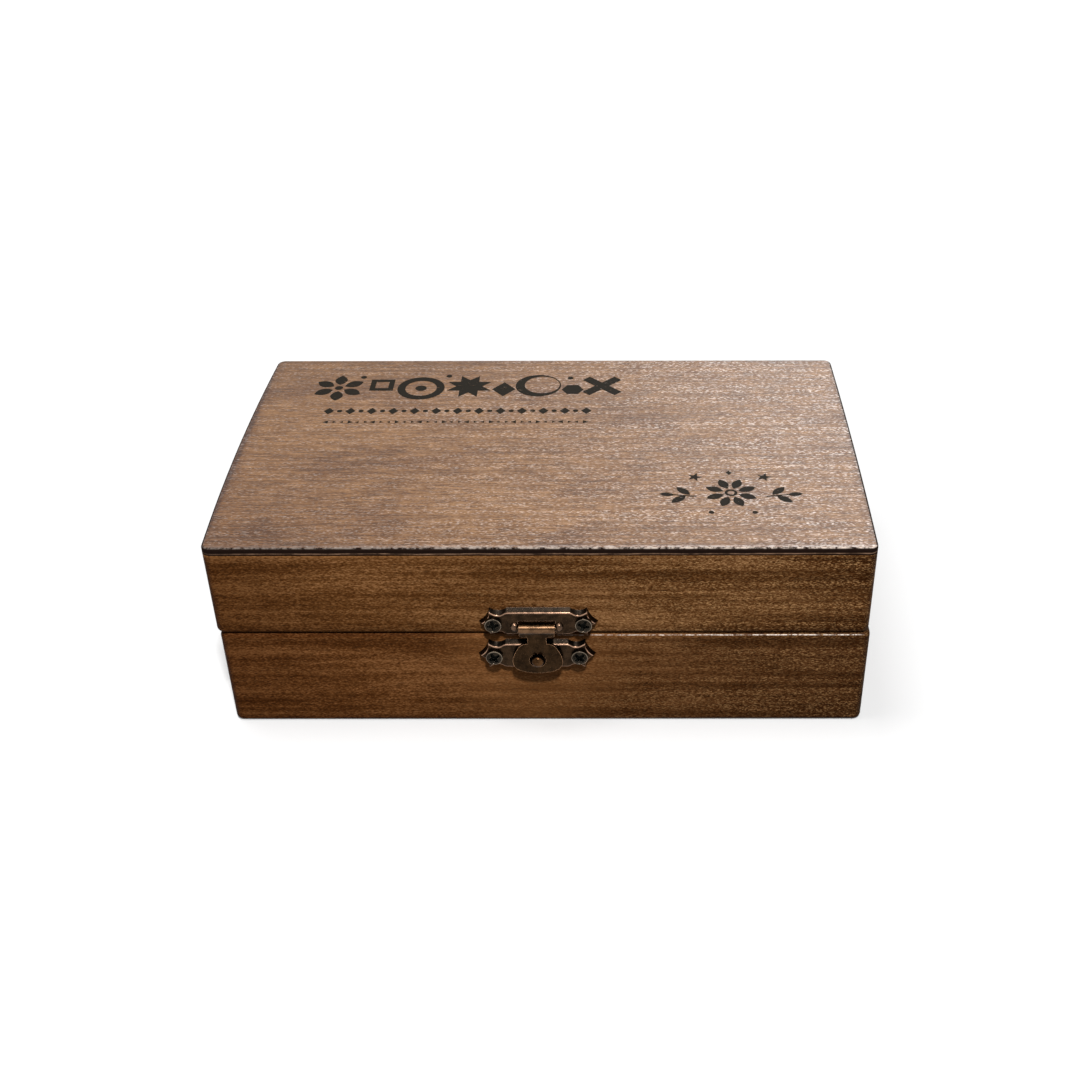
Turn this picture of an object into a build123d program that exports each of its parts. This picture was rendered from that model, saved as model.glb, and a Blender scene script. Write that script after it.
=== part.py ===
from build123d import *
import math
import os

# Stained wooden stamp box with a hinged lid and a stamped hasp on the front.
# Millimetres. X runs along the box, the front faces -Y, Z is up.
# The origin is the centre of the base's underside.

# Wooden case
box_length = 150.0
box_depth = 91.0
base_height = 26.0
lid_height = 23.7
seam_gap = 0.3
wall = 8.0
lid_shift = -0.5  # the lid sits a little to the left on the base
left_crown = 1.2  # how far the sanded left end swells between its corners
right_crown = 0.4
corner_radius = 2.0
edge_radius = 1.1  # seam edges and foot edges
bottom_panel = 3.0
panel_rebate = 4.0  # how far the bottom panel runs into the boards
top_panel = 2.0
top_edge_radius = 0.7

# Stamps: they fill the inside, so that here each comes out 12 x 9 x 40
stamp_columns = 10
stamp_rows = 7
stamp_gap_x = 1.0
stamp_gap_y = 1.1
stamp_room_x = 2.5  # between the stamps and the end boards
stamp_room_y = 2.7
stamp_head_room = 5.0
die_height = 2.0
die_margin = 0.4
stamp_chamfer = 0.4

# Hasp plates, measured at the wood
plate_half_length = 13.6
plate_rise = 1.3
plate_sheet = 0.55
plate_flare = 1.05  # how far the sloped rim runs in from the wood to the front face
tip_flare = 0.8
plate_bar_half = 7.1
plate_corner_half = 11.1
scallop_depth = 0.8
end_hollow_depth = 0.45
upper_plate_x = -1.3
upper_plate_rise = 3.8  # its middle above the lid's lower edge
upper_plate_half_height = 3.75
lower_plate_x = -1.9
lower_plate_drop = 5.2  # its middle below the base's upper edge
lower_plate_half_height = 4.0

# Hasp tongue, its pin and the stud
tongue_x = -1.7
tongue_axis_rise = 2.6  # above the lid's lower edge
tongue_sheet = 0.65
pin_radius = 0.6
pin_clearance = 0.05
wood_clearance = 0.3
knuckle_half = 4.05
window_side_gap = 0.25
window_top_gap = 0.66
shoulder_drop = 1.4
shoulder_radius = 0.5
neck_half = 2.15
neck_drop = 3.4
head_half = 5.8
tongue_drop = 12.0
head_outline_shares = (  # right half of the bell: across by head_half, down by its height
    (0.58, 0.03),
    (0.74, 0.12),
    (0.90, 0.33),
    (1.00, 0.56),
    (0.90, 0.81),
    (0.60, 0.94),
)
tongue_hole_radius = 1.9
ear_length = 1.6
ear_wall = 0.35
stud_radius = 1.4
stud_reach = 3.9  # how far the stud's end stands out from the wood
stud_dome = 0.5
stud_neck_radius = 1.0
rivet_height = 0.4
stud_drop = 8.45  # below the tongue's axis

# Hasp screws
hasp_screw_head_radius = 1.95
hasp_screw_head_height = 0.95
hasp_screw_dome = 0.5
hasp_screw_radius = 0.8
hasp_screw_length = 5.5
hasp_screw_spacing_upper = 20.6
hasp_screw_spacing_lower = 19.7
cross_width = 0.5
cross_length = 2.3
cross_depth = 0.6
cross_turns = (12.0, -20.0, 30.0, 45.0)

# Back hinges
hinge_inset = 30.0  # from the case's end to the middle of a hinge
hinge_width = 18.0
hinge_leaf_length = 10.0
hinge_leaf_sheet = 0.8
hinge_knuckle_radius = 1.4
hinge_pin_radius = 0.7
hinge_pin_head = 0.35
hinge_knuckle_gap = 0.3
hinge_screw_spacing = 10.0
hinge_screw_drop = 6.0
hinge_screw_head_radius = 1.35
hinge_screw_head_height = 0.65
hinge_screw_radius = 0.7
hinge_screw_length = 5.0
hinge_cross_width = 0.35
hinge_cross_length = 1.7
hinge_cross_depth = 0.35

# Small shared values
fit_clearance = 0.02  # a screw in its hole, a stud in its plate
overrun = 5.0  # how far a cutting shape runs past what it cuts
screw_point_share = 0.3
fillet_share = 0.9  # the largest part of its wall that a rounding may take

# Heights and distances that follow
half_length = box_length / 2
half_depth = box_depth / 2
lid_bottom = base_height + seam_gap
lid_top = lid_bottom + lid_height
lid_ceiling = lid_top - top_panel
inner_half_length = half_length - wall
inner_half_depth = half_depth - wall
stamp_space_x = 2 * (inner_half_length - stamp_room_x) - (stamp_columns - 1) * stamp_gap_x
stamp_space_y = 2 * (inner_half_depth - stamp_room_y) - (stamp_rows - 1) * stamp_gap_y
stamp_width = stamp_space_x / stamp_columns
stamp_depth = stamp_space_y / stamp_rows
stamp_height = lid_ceiling - bottom_panel - stamp_head_room
hinge_middle = half_length - hinge_inset
hinge_axis_z = base_height + seam_gap / 2
hinge_axis_out = hinge_knuckle_radius + hinge_knuckle_gap
upper_plate_z = lid_bottom + upper_plate_rise
lower_plate_z = base_height - lower_plate_drop
tongue_axis_z = lid_bottom + tongue_axis_rise
stud_z = tongue_axis_z - stud_drop
knuckle_radius = pin_radius + pin_clearance + tongue_sheet
tongue_axis_out = knuckle_radius + wood_clearance
tongue_front = tongue_axis_out + knuckle_radius
window_half = knuckle_half + window_side_gap
window_top = tongue_axis_z + knuckle_radius + window_top_gap

# Frames on the front and the back of the case: across, up, and out from the wood
front = Plane(origin=(0, -half_depth, 0), x_dir=(1, 0, 0), z_dir=(0, -1, 0))
back = Plane(origin=(0, half_depth, 0), x_dir=(-1, 0, 0), z_dir=(0, 1, 0))


def span(x0, x1, y0, y1, z0, z1):
    """A block between two corners."""
    middle = Pos((x0 + x1) / 2, (y0 + y1) / 2, (z0 + z1) / 2)
    return middle * Box(x1 - x0, y1 - y0, z1 - z0)


def save(shape, node):
    export_step(shape, "parts/" + node + ".step")


def rod(radius, low, high):
    """A round bar along Z."""
    return Pos(0, 0, low) * extrude(Circle(radius), high - low)


def bar_along_x(radius, x0, x1, y, z):
    """A round bar along X at a height y and a distance z of the frame it is in."""
    turned = Plane(origin=(x0, y, z), x_dir=(0, 1, 0), z_dir=(1, 0, 0))
    return turned * extrude(Circle(radius), x1 - x0)


# Case

def case_outline(shift):
    """The plan of the case: straight front and back, ends crowned by sanding."""
    left = shift - half_length
    right = shift + half_length
    edges = [
        Line((left, -half_depth), (right, -half_depth)),
        ThreePointArc((right, -half_depth), (right + right_crown, 0), (right, half_depth)),
        Line((right, half_depth), (left, half_depth)),
        ThreePointArc((left, half_depth), (left - left_crown, 0), (left, -half_depth)),
    ]
    plan = make_face(edges)
    return fillet(plan.vertices(), corner_radius)


def soften(body, height_groups, radius):
    """Round the outline's edges at the lowest (0) or highest (-1) level of a body."""
    limited = min(radius, corner_radius * fillet_share)
    for group in height_groups:
        body = fillet(body.edges().group_by(Axis.Z)[group], limited)
    return body


def base_shell():
    block = extrude(case_outline(0), base_height)
    block = soften(block, (0, -1), edge_radius)
    inside = span(
        -inner_half_length, inner_half_length, -inner_half_depth, inner_half_depth,
        -overrun, base_height + overrun,
    )
    return block - inside - bottom_panel_space()


def bottom_panel_space():
    x = inner_half_length + panel_rebate
    y = inner_half_depth + panel_rebate
    return span(-x, x, -y, y, 0, bottom_panel)


def lid_shell():
    block = Pos(0, 0, lid_bottom) * extrude(case_outline(lid_shift), lid_ceiling - lid_bottom)
    block = soften(block, (0,), edge_radius)
    inside = span(
        lid_shift - inner_half_length, lid_shift + inner_half_length, -inner_half_depth, inner_half_depth,
        lid_bottom - overrun, lid_ceiling + overrun,
    )
    return block - inside


def lid_panel():
    panel = Pos(0, 0, lid_ceiling) * extrude(case_outline(lid_shift), top_panel)
    limited = min(top_edge_radius, corner_radius * fillet_share, top_panel * fillet_share)
    return fillet(panel.edges().group_by(Axis.Z)[-1], limited)


def board(shell, side):
    """One board of a shell: front and back boards run the full length, the others stand between them."""
    far = box_length + box_depth
    tall = base_height + lid_height + overrun
    if side == "front":
        return shell & span(-far, far, -far, -inner_half_depth, -overrun, tall)
    if side == "back":
        return shell & span(-far, far, inner_half_depth, far, -overrun, tall)
    if side == "left":
        return shell & span(-far, 0, -inner_half_depth, inner_half_depth, -overrun, tall)
    return shell & span(0, far, -inner_half_depth, inner_half_depth, -overrun, tall)


# Screws

def cross_recess(width, length, depth, top, turn):
    arms = Box(length, width, 2 * depth) + Box(width, length, 2 * depth)
    return Pos(0, 0, top) * Rot(0, 0, turn) * arms


def screw_shank(radius, low, high):
    point = (high - low) * screw_point_share
    outline = Polyline((0, low), (radius, low + point), (radius, high), (0, high), close=True)
    return revolve(Plane.XZ * make_face(outline), Axis.Z)


def raised_screw(turn):
    """A cross-head screw with a raised round head, its underside at zero, its head along +Z."""
    head = rod(hasp_screw_head_radius, 0, hasp_screw_head_height)
    rounding = min(hasp_screw_dome, hasp_screw_head_height * fillet_share)
    head = fillet(head.edges().group_by(Axis.Z)[-1], rounding)
    head = head - cross_recess(cross_width, cross_length, cross_depth, hasp_screw_head_height, turn)
    return head + screw_shank(hasp_screw_radius, -hasp_screw_length, 0)


def flush_screw(turn):
    """A countersunk cross-head screw, its head's top at zero, its point along -Z."""
    outline = Polyline(
        (0, 0),
        (hinge_screw_head_radius, 0),
        (hinge_screw_radius, -hinge_screw_head_height),
        (0, -hinge_screw_head_height),
        close=True,
    )
    head = revolve(Plane.XZ * make_face(outline), Axis.Z)
    head = head - cross_recess(hinge_cross_width, hinge_cross_length, hinge_cross_depth, 0, turn)
    return head + screw_shank(hinge_screw_radius, -hinge_screw_length, -hinge_screw_head_height)


def hasp_screw_places(plate_x, plate_z, spacing):
    """Places on the front frame, at the plate's front face."""
    return [Pos(plate_x + side * spacing / 2, plate_z, plate_rise) for side in (-1, 1)]


def upper_hasp_places():
    return hasp_screw_places(upper_plate_x, upper_plate_z, hasp_screw_spacing_upper)


def lower_hasp_places():
    return hasp_screw_places(lower_plate_x, lower_plate_z, hasp_screw_spacing_lower)


def hasp_screws(places, turns):
    return [front * place * raised_screw(turn) for place, turn in zip(places, turns)]


def hasp_pilots(places):
    """Holes in the wood for the hasp's screws."""
    return [front * place * rod(hasp_screw_radius + fit_clearance, -hasp_screw_length, 0) for place in places]


# Hasp

def plate_outline(half_height, inset, end_inset):
    """The stamped outline: a bar, a scallop, a corner and a hollow end that comes to a point."""
    top = half_height - inset
    tip = plate_half_length - end_inset
    chord = math.hypot(tip - plate_corner_half, top)
    lean_x = top / chord
    lean_y = (tip - plate_corner_half) / chord
    edges = []
    for up in (1, -1):
        edges.append(Line((-plate_bar_half, up * top), (plate_bar_half, up * top)))
        for side in (1, -1):
            bar_end = (side * plate_bar_half, up * top)
            low = (side * (plate_bar_half + plate_corner_half) / 2, up * (top - scallop_depth))
            corner = (side * plate_corner_half, up * top)
            hollow_x = (plate_corner_half + tip) / 2 - end_hollow_depth * lean_x
            hollow_y = top / 2 - end_hollow_depth * lean_y
            edges.append(ThreePointArc(bar_end, low, corner))
            edges.append(ThreePointArc(corner, (side * hollow_x, up * hollow_y), (side * tip, 0)))
    return make_face(edges)


def dished_plate(half_height):
    """A dished sheet plate at the frame's origin, its rim on the wood and its face along +Z."""
    rim = plate_outline(half_height, 0, 0)
    face = Pos(0, 0, plate_rise) * plate_outline(half_height, plate_flare, tip_flare)
    solid = loft([rim, face], ruled=True)
    inner_rim = plate_outline(half_height, plate_sheet, plate_sheet)
    inner_face = Pos(0, 0, plate_rise - plate_sheet) * plate_outline(
        half_height, plate_flare + plate_sheet / 2, tip_flare + plate_sheet
    )
    return solid - loft([inner_rim, inner_face], ruled=True)


def clear_hole(place, radius):
    return place * rod(radius, -overrun, overrun)


def upper_plate():
    plate = Pos(upper_plate_x, upper_plate_z, 0) * dished_plate(upper_plate_half_height)
    for place in upper_hasp_places():
        plate = plate - clear_hole(place, hasp_screw_radius + fit_clearance)
    window = span(
        tongue_x - window_half, tongue_x + window_half, upper_plate_z - upper_plate_half_height - overrun,
        window_top, -overrun, overrun,
    )
    plate = plate - window
    for side in (-1, 1):
        near = tongue_x + side * window_half
        far = near + side * ear_length
        ear_radius = pin_radius + pin_clearance + ear_wall
        ear = bar_along_x(ear_radius, min(near, far), max(near, far), tongue_axis_z, tongue_axis_out)
        outside = span(-box_length, box_length, 0, box_length, plate_rise - plate_sheet, box_length)
        plate = plate + (ear & outside)
    reach = tongue_pin_reach() + pin_clearance
    bore = bar_along_x(
        pin_radius + pin_clearance, tongue_x - reach, tongue_x + reach, tongue_axis_z, tongue_axis_out
    )
    return front * (plate - bore)


def lower_plate():
    plate = Pos(lower_plate_x, lower_plate_z, 0) * dished_plate(lower_plate_half_height)
    for place in lower_hasp_places():
        plate = plate - clear_hole(place, hasp_screw_radius + fit_clearance)
    stud_place = Pos(tongue_x, stud_z, 0)
    return front * (plate - clear_hole(stud_place, stud_neck_radius + fit_clearance))


def stud():
    """A round stud with a domed end, riveted through the lower plate."""
    seat = plate_rise - plate_sheet
    outline = Polyline(
        (0, seat - rivet_height),
        (stud_radius, seat - rivet_height),
        (stud_radius, seat),
        (stud_neck_radius, seat),
        (stud_neck_radius, plate_rise),
        (stud_radius, plate_rise),
        (stud_radius, stud_reach),
        (0, stud_reach),
        close=True,
    )
    body = revolve(Plane.XZ * make_face(outline), Axis.Z)
    body = fillet(body.edges().group_by(Axis.Z)[-1], min(stud_dome, stud_radius * fillet_share))
    return front * Pos(tongue_x, stud_z, 0) * body


def tongue_face():
    """The tongue seen from the front: shoulders, neck and a bell-shaped head."""
    shoulder = tongue_axis_z - shoulder_drop
    neck = tongue_axis_z - neck_drop
    foot = tongue_axis_z - tongue_drop
    shoulders = span(-knuckle_half, knuckle_half, shoulder, tongue_axis_z, 0, tongue_sheet)
    shoulders = fillet(shoulders.edges().filter_by(Axis.Z).group_by(Axis.Y)[0], shoulder_radius)
    neck_bar = span(-neck_half, neck_half, neck - overrun / 2, shoulder + shoulder_radius, 0, tongue_sheet)
    points = [(neck_half, neck)]
    points += [(head_half * x, neck + (foot - neck) * y) for x, y in head_outline_shares]
    edges = [Line((-neck_half, neck), (neck_half, neck))]
    for side in (-1, 1):
        rim = [(side * x, y) for x, y in points]
        edges += [ThreePointArc(*arc) for arc in zip(rim[::2], rim[1::2], rim[2::2])]
    low_right = points[-1]
    edges.append(ThreePointArc((-low_right[0], low_right[1]), (0, foot), low_right))
    return shoulders + neck_bar + extrude(make_face(edges), tongue_sheet)


def tongue():
    sheet = Pos(tongue_x, 0, tongue_front - tongue_sheet) * tongue_face()
    left = tongue_x - knuckle_half
    right = tongue_x + knuckle_half
    body = sheet + bar_along_x(knuckle_radius, left, right, tongue_axis_z, tongue_axis_out)
    bore = bar_along_x(
        pin_radius + pin_clearance, left - overrun, right + overrun, tongue_axis_z, tongue_axis_out
    )
    hole = clear_hole(Pos(tongue_x, stud_z, 0), tongue_hole_radius)
    return front * (body - bore - hole)


def tongue_pin_reach():
    """Half the pin's length: it ends inside the two ears."""
    return window_half + ear_length - ear_wall


def tongue_pin():
    reach = tongue_pin_reach()
    return front * bar_along_x(
        pin_radius, tongue_x - reach, tongue_x + reach, tongue_axis_z, tongue_axis_out
    )


# Hinges

def hinge_places(side, up):
    """Screw places on a leaf, on the back frame at the leaf's outer face."""
    middle = side * hinge_middle
    level = hinge_axis_z + up * hinge_screw_drop
    return [Pos(middle + step * hinge_screw_spacing / 2, level, hinge_leaf_sheet) for step in (-1, 1)]


def all_hinge_places(up):
    return [place for side in (-1, 1) for place in hinge_places(side, up)]


def knuckle_spans(up):
    """Across the hinge: the upper leaf has the middle knuckle, the lower leaf the two outer ones."""
    joint = hinge_width / 3 / 2
    if up == 1:
        reach = joint - hinge_knuckle_gap / 2
        return [(-reach, reach)]
    near = joint + hinge_knuckle_gap / 2
    far = hinge_width / 2
    return [(-far, -near), (near, far)]


def hinge_leaf(side, up):
    """A leaf flat on the back of a board, rolled into knuckles round the hinge pin."""
    middle = side * hinge_middle
    near = hinge_axis_z + up * (hinge_knuckle_radius + hinge_knuckle_gap)
    far = hinge_axis_z + up * hinge_leaf_length
    low, high = min(near, far), max(near, far)
    leaf = span(middle - hinge_width / 2, middle + hinge_width / 2, low, high, 0, hinge_leaf_sheet)
    for x0, x1 in knuckle_spans(up):
        low, high = min(near, hinge_axis_z), max(near, hinge_axis_z)
        leaf = leaf + span(middle + x0, middle + x1, low, high, 0, hinge_leaf_sheet)
        leaf = leaf + bar_along_x(
            hinge_knuckle_radius, middle + x0, middle + x1, hinge_axis_z, hinge_axis_out
        )
    reach = hinge_width / 2 + overrun
    bore_radius = hinge_pin_radius + pin_clearance
    leaf = leaf - bar_along_x(bore_radius, middle - reach, middle + reach, hinge_axis_z, hinge_axis_out)
    for place in hinge_places(side, up):
        leaf = leaf - place * countersink()
    return back * leaf


def countersink():
    """The space that a flush screw takes in its leaf."""
    outline = Polyline(
        (0, 0),
        (hinge_screw_head_radius + fit_clearance, 0),
        (hinge_screw_radius + fit_clearance, -hinge_screw_head_height),
        (hinge_screw_radius + fit_clearance, -hinge_screw_length),
        (0, -hinge_screw_length),
        close=True,
    )
    return revolve(Plane.XZ * make_face(outline), Axis.Z)


def hinge_pin(side):
    middle = side * hinge_middle
    reach = hinge_width / 2 + hinge_pin_head
    pin = bar_along_x(hinge_pin_radius, middle - reach, middle + reach, hinge_axis_z, hinge_axis_out)
    return back * pin


def hinge_screws(up):
    return [back * place * flush_screw(turn) for place, turn in zip(all_hinge_places(up), cross_turns)]


def hinge_pilots(up):
    return [
        back * place * rod(hinge_screw_radius + fit_clearance, -hinge_screw_length, 0)
        for place in all_hinge_places(up)
    ]


# Stamps

def stamp_pitch_x():
    return stamp_width + stamp_gap_x


def stamp_pitch_y():
    return stamp_depth + stamp_gap_y


def stamp_places(row):
    """Where the stamps of one row stand on the bottom panel, front row first."""
    y = (row - (stamp_rows - 1) / 2) * stamp_pitch_y()
    first = -(stamp_columns - 1) / 2 * stamp_pitch_x()
    return [(first + column * stamp_pitch_x(), y) for column in range(stamp_columns)]


def stamp_block():
    block = Box(stamp_width, stamp_depth, stamp_height - die_height)
    rounded = block.edges().filter_by(Axis.Z) + block.edges().group_by(Axis.Z)[-1]
    return chamfer(rounded, stamp_chamfer)


def stamp_row(row, shape, level):
    return [Pos(x, y, level) * shape for x, y in stamp_places(row)]


# Write the nodes

os.makedirs("parts", exist_ok=True)

base = base_shell()
base_front = board(base, "front")
for pilot in hasp_pilots(lower_hasp_places()):
    base_front = base_front - pilot
base_back = board(base, "back")
for pilot in hinge_pilots(-1):
    base_back = base_back - pilot
save(base_front, "base_front_board")
save(base_back, "base_back_board")
save(board(base, "left"), "base_left_board")
save(board(base, "right"), "base_right_board")
save(bottom_panel_space(), "base_bottom_panel")

lid = lid_shell()
lid_front = board(lid, "front")
for pilot in hasp_pilots(upper_hasp_places()):
    lid_front = lid_front - pilot
lid_back = board(lid, "back")
for pilot in hinge_pilots(1):
    lid_back = lid_back - pilot
save(lid_front, "lid_front_board")
save(lid_back, "lid_back_board")
save(board(lid, "left"), "lid_left_board")
save(board(lid, "right"), "lid_right_board")
save(lid_panel(), "lid_top_panel")

save(upper_plate(), "hasp_upper_plate")
save(lower_plate(), "hasp_lower_plate")
save(tongue(), "hasp_tongue")
save(tongue_pin(), "hasp_tongue_pin")
save(stud(), "hasp_stud")
save(Compound(hasp_screws(upper_hasp_places(), cross_turns[:2])), "hasp_upper_screws")
save(Compound(hasp_screws(lower_hasp_places(), cross_turns[2:])), "hasp_lower_screws")

for side, name in ((1, "left"), (-1, "right")):
    save(hinge_leaf(side, -1), "hinge_" + name + "_lower_leaf")
    save(hinge_leaf(side, 1), "hinge_" + name + "_upper_leaf")
    save(hinge_pin(side), "hinge_" + name + "_pin")
save(Compound(hinge_screws(-1)), "hinge_lower_screws")
save(Compound(hinge_screws(1)), "hinge_upper_screws")

block_middle = bottom_panel + die_height + (stamp_height - die_height) / 2
die_middle = bottom_panel + die_height / 2
block = stamp_block()
die = Box(stamp_width - 2 * die_margin, stamp_depth - 2 * die_margin, die_height)
for row in range(stamp_rows):
    save(Compound(stamp_row(row, block, block_middle)), "stamp_blocks_row_" + str(row + 1))
    save(Compound(stamp_row(row, die, die_middle)), "stamp_dies_row_" + str(row + 1))
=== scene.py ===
import bmesh
import bpy
import math
from mathutils import Matrix, Vector


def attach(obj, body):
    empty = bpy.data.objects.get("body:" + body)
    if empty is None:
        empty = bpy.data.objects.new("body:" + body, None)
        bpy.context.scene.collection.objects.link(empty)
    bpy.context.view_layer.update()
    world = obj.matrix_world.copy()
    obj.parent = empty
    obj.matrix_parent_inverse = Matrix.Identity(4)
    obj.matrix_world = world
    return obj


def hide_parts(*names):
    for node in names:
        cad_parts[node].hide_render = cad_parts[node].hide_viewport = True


# Stained stamp box with a dished bronze hasp.
# Everything is modelled in millimetres and brought to metres when a piece is finished.

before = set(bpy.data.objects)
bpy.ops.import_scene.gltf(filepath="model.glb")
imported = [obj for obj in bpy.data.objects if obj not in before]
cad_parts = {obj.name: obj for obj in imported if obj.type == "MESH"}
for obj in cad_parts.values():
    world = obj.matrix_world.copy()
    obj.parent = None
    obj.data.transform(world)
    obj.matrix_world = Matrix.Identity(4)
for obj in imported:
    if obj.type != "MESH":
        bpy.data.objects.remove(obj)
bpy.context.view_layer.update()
millimetre = 0.001
tiny = 0.001
quarterTurn = math.pi / 2

caseSizes = {
    "length": 150.0,
    "depth": 91.0,
    "wall": 8.0,
    "baseTop": 26.0,
    "lidBottom": 26.3,
    "lidCeiling": 48.0,
    "lidTop": 50.0,
    "lidShift": -0.5,
    "leftCrown": 1.2,
    "rightCrown": 0.4,
    "crownCuts": 15,
    "cornerRadius": 2.0,
    "cornerSteps": 8,
    "edgeRadius": 1.1,
    "topEdgeRadius": 0.7,
    "edgeSteps": 5,
    "bottomPanel": 3.0,
    "rebate": 4.0,
    "printDepth": 0.02,
    "boardSoften": 0.16,
    "panelSoften": 0.08,
    "softenAngle": 50.0,
    "flatFacing": 0.985,
}
halfLength = caseSizes["length"] / 2
halfDepth = caseSizes["depth"] / 2
innerLength = halfLength - caseSizes["wall"]
innerDepth = halfDepth - caseSizes["wall"]

# local x runs across, y up and z out of the wood
onFront = Matrix(((1, 0, 0, 0), (0, 0, -1, -halfDepth), (0, 1, 0, 0), (0, 0, 0, 1)))


# Shader helpers, which work in the tree of the sockets they are given

def isSocket(value):
    return isinstance(value, bpy.types.NodeSocket)


def treeOf(*values):
    return next(value.id_data for value in values if isSocket(value))


def feed(node, inputs):
    # a socket is linked, any other value is set on the node's own socket
    for name, value in inputs.items():
        if isSocket(value):
            node.id_data.links.new(value, node.inputs[name])
        else:
            node.inputs[name].default_value = value


def addNode(tree, kind, inputs=None, **settings):
    made = tree.nodes.new(kind)
    for name, value in settings.items():
        setattr(made, name, value)
    feed(made, inputs or {})
    return made


def calc(operation, first, second=0.0, clamp=False):
    inputs = {0: first, 1: second}
    tree = treeOf(first, second)
    return addNode(tree, "ShaderNodeMath", inputs, operation=operation, use_clamp=clamp).outputs[0]


def plus(first, second, clamp=False):
    return calc("ADD", first, second, clamp)


def minus(first, second):
    return calc("SUBTRACT", first, second)


def times(first, second, clamp=False):
    return calc("MULTIPLY", first, second, clamp)


def centred(value, width):
    # 0 to 1 becomes a swing of that width around zero
    return times(minus(value, 0.5), width)


def vectorCalc(operation, first, second=(0, 0, 0)):
    made = addNode(treeOf(first), "ShaderNodeVectorMath", {0: first, 1: second}, operation=operation)
    return made.outputs["Value" if operation in ("LENGTH", "DOT_PRODUCT") else "Vector"]


def distanceFrom(vector, point):
    return vectorCalc("LENGTH", vectorCalc("SUBTRACT", vector, point))


def parts(vector):
    return addNode(treeOf(vector), "ShaderNodeSeparateXYZ", {"Vector": vector}).outputs


def remap(value, low, high, toLow=0.0, toHigh=1.0, kind="SMOOTHSTEP"):
    inputs = {"Value": value, "From Min": low, "From Max": high, "To Min": toLow, "To Max": toHigh}
    return addNode(treeOf(value), "ShaderNodeMapRange", inputs, interpolation_type=kind).outputs["Result"]


def band(value, start, full, last, end):
    # rises from start to full, and falls from last to end
    return times(remap(value, start, full), remap(value, last, end, 1.0, 0.0))


def blend(share, first, second, mode="MIX"):
    inputs = {0: share, 6: first, 7: second}
    tree = treeOf(share, first, second)
    return addNode(tree, "ShaderNodeMix", inputs, data_type="RGBA", blend_type=mode).outputs[2]


def stain(share, colour, tint):
    return blend(share, colour, tint, "MULTIPLY")


def noise(vector, stretch, detail=2.0, roughness=0.5):
    stretch = stretch if isinstance(stretch, tuple) else (stretch,) * 3
    scaled = vectorCalc("MULTIPLY", vector, stretch)
    inputs = {"Vector": scaled, "Scale": 1.0, "Detail": detail, "Roughness": roughness}
    return addNode(treeOf(vector), "ShaderNodeTexNoise", inputs).outputs["Fac"]


def patches(vector, stretch, detail, roughness, *limits):
    # noise cut to patches between two limits
    return remap(noise(vector, stretch, detail, roughness), *limits)


def newGroup(name, inputs, outputs):
    group = bpy.data.node_groups.new(name, "ShaderNodeTree")
    for label, value in inputs.items():
        kind = "NodeSocketVector" if isinstance(value, tuple) else "NodeSocketFloat"
        group.interface.new_socket(name=label, in_out="INPUT", socket_type=kind).default_value = value
    for label in outputs:
        group.interface.new_socket(name=label, in_out="OUTPUT", socket_type="NodeSocketFloat")
    return group, group.nodes.new("NodeGroupInput").outputs, group.nodes.new("NodeGroupOutput")


def useGroup(group, vector, values):
    return addNode(treeOf(vector), "ShaderNodeGroup", {"Vector": vector, **values}, node_tree=group).outputs


def objectPlace(tree, turn=(0, 0, 0), shift=(0, 0, 0)):
    # object coordinates in millimetres
    place = addNode(tree, "ShaderNodeTexCoord").outputs["Object"]
    inputs = {"Vector": place, "Location": shift, "Rotation": turn, "Scale": (1 / millimetre,) * 3}
    return addNode(tree, "ShaderNodeMapping", inputs).outputs["Vector"]


def newMaterial(name, turn=(0, 0, 0)):
    made = bpy.data.materials.new(name)
    made.use_nodes = True
    return made, made.node_tree.nodes["Principled BSDF"], objectPlace(made.node_tree, turn)


def finish(look, shader, colour, roughness, height):
    strength, distance = look["bump"]
    inputs = {"Height": height, "Strength": strength, "Distance": distance}
    bump = addNode(shader.id_data, "ShaderNodeBump", inputs).outputs["Normal"]
    feed(shader, {"Base Color": colour, "Roughness": roughness, "Normal": bump})
    if "specular" in look:
        feed(shader, {"Specular IOR Level": look["specular"]})


# Shared surface effects

grainPatterns = {
    # stretch, detail and roughness of each noise, and the limits of its patches
    "warp": ((0.016, 0.05, 0.05), 2.0, 0.5),
    "rings": (1.0, 3.0, 0.6),
    "streaks": ((0.016, 0.6, 0.6), 3.0, 0.55),
    "fibres": (1.0, 3.0, 0.65),
    "specks": (1.0, 1.0, 0.5),
    "flecks": (1.0, 1.0, 0.6, 0.53, 0.66),
    "blotches": ((0.028, 0.05, 0.05), 2.0, 0.5),
    "pores": ((0.32, 3.4, 3.4), 1.0, 0.5, 0.62, 0.74),
    "warpWidth": 9.0,
    "ringStretch": 0.007,
    "ringSeed": 3.7,
    "fleckSeed": (17, 3, 8),
    "blotchSeed": (31, 7, 19),
    "poreSeed": (5, 11, 3),
    "fleckStreaks": (0.40, 0.60, 0.35, 1.0),
    "speckHeight": 0.6,
    "toneLimits": (0.2, 0.9),
}


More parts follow.
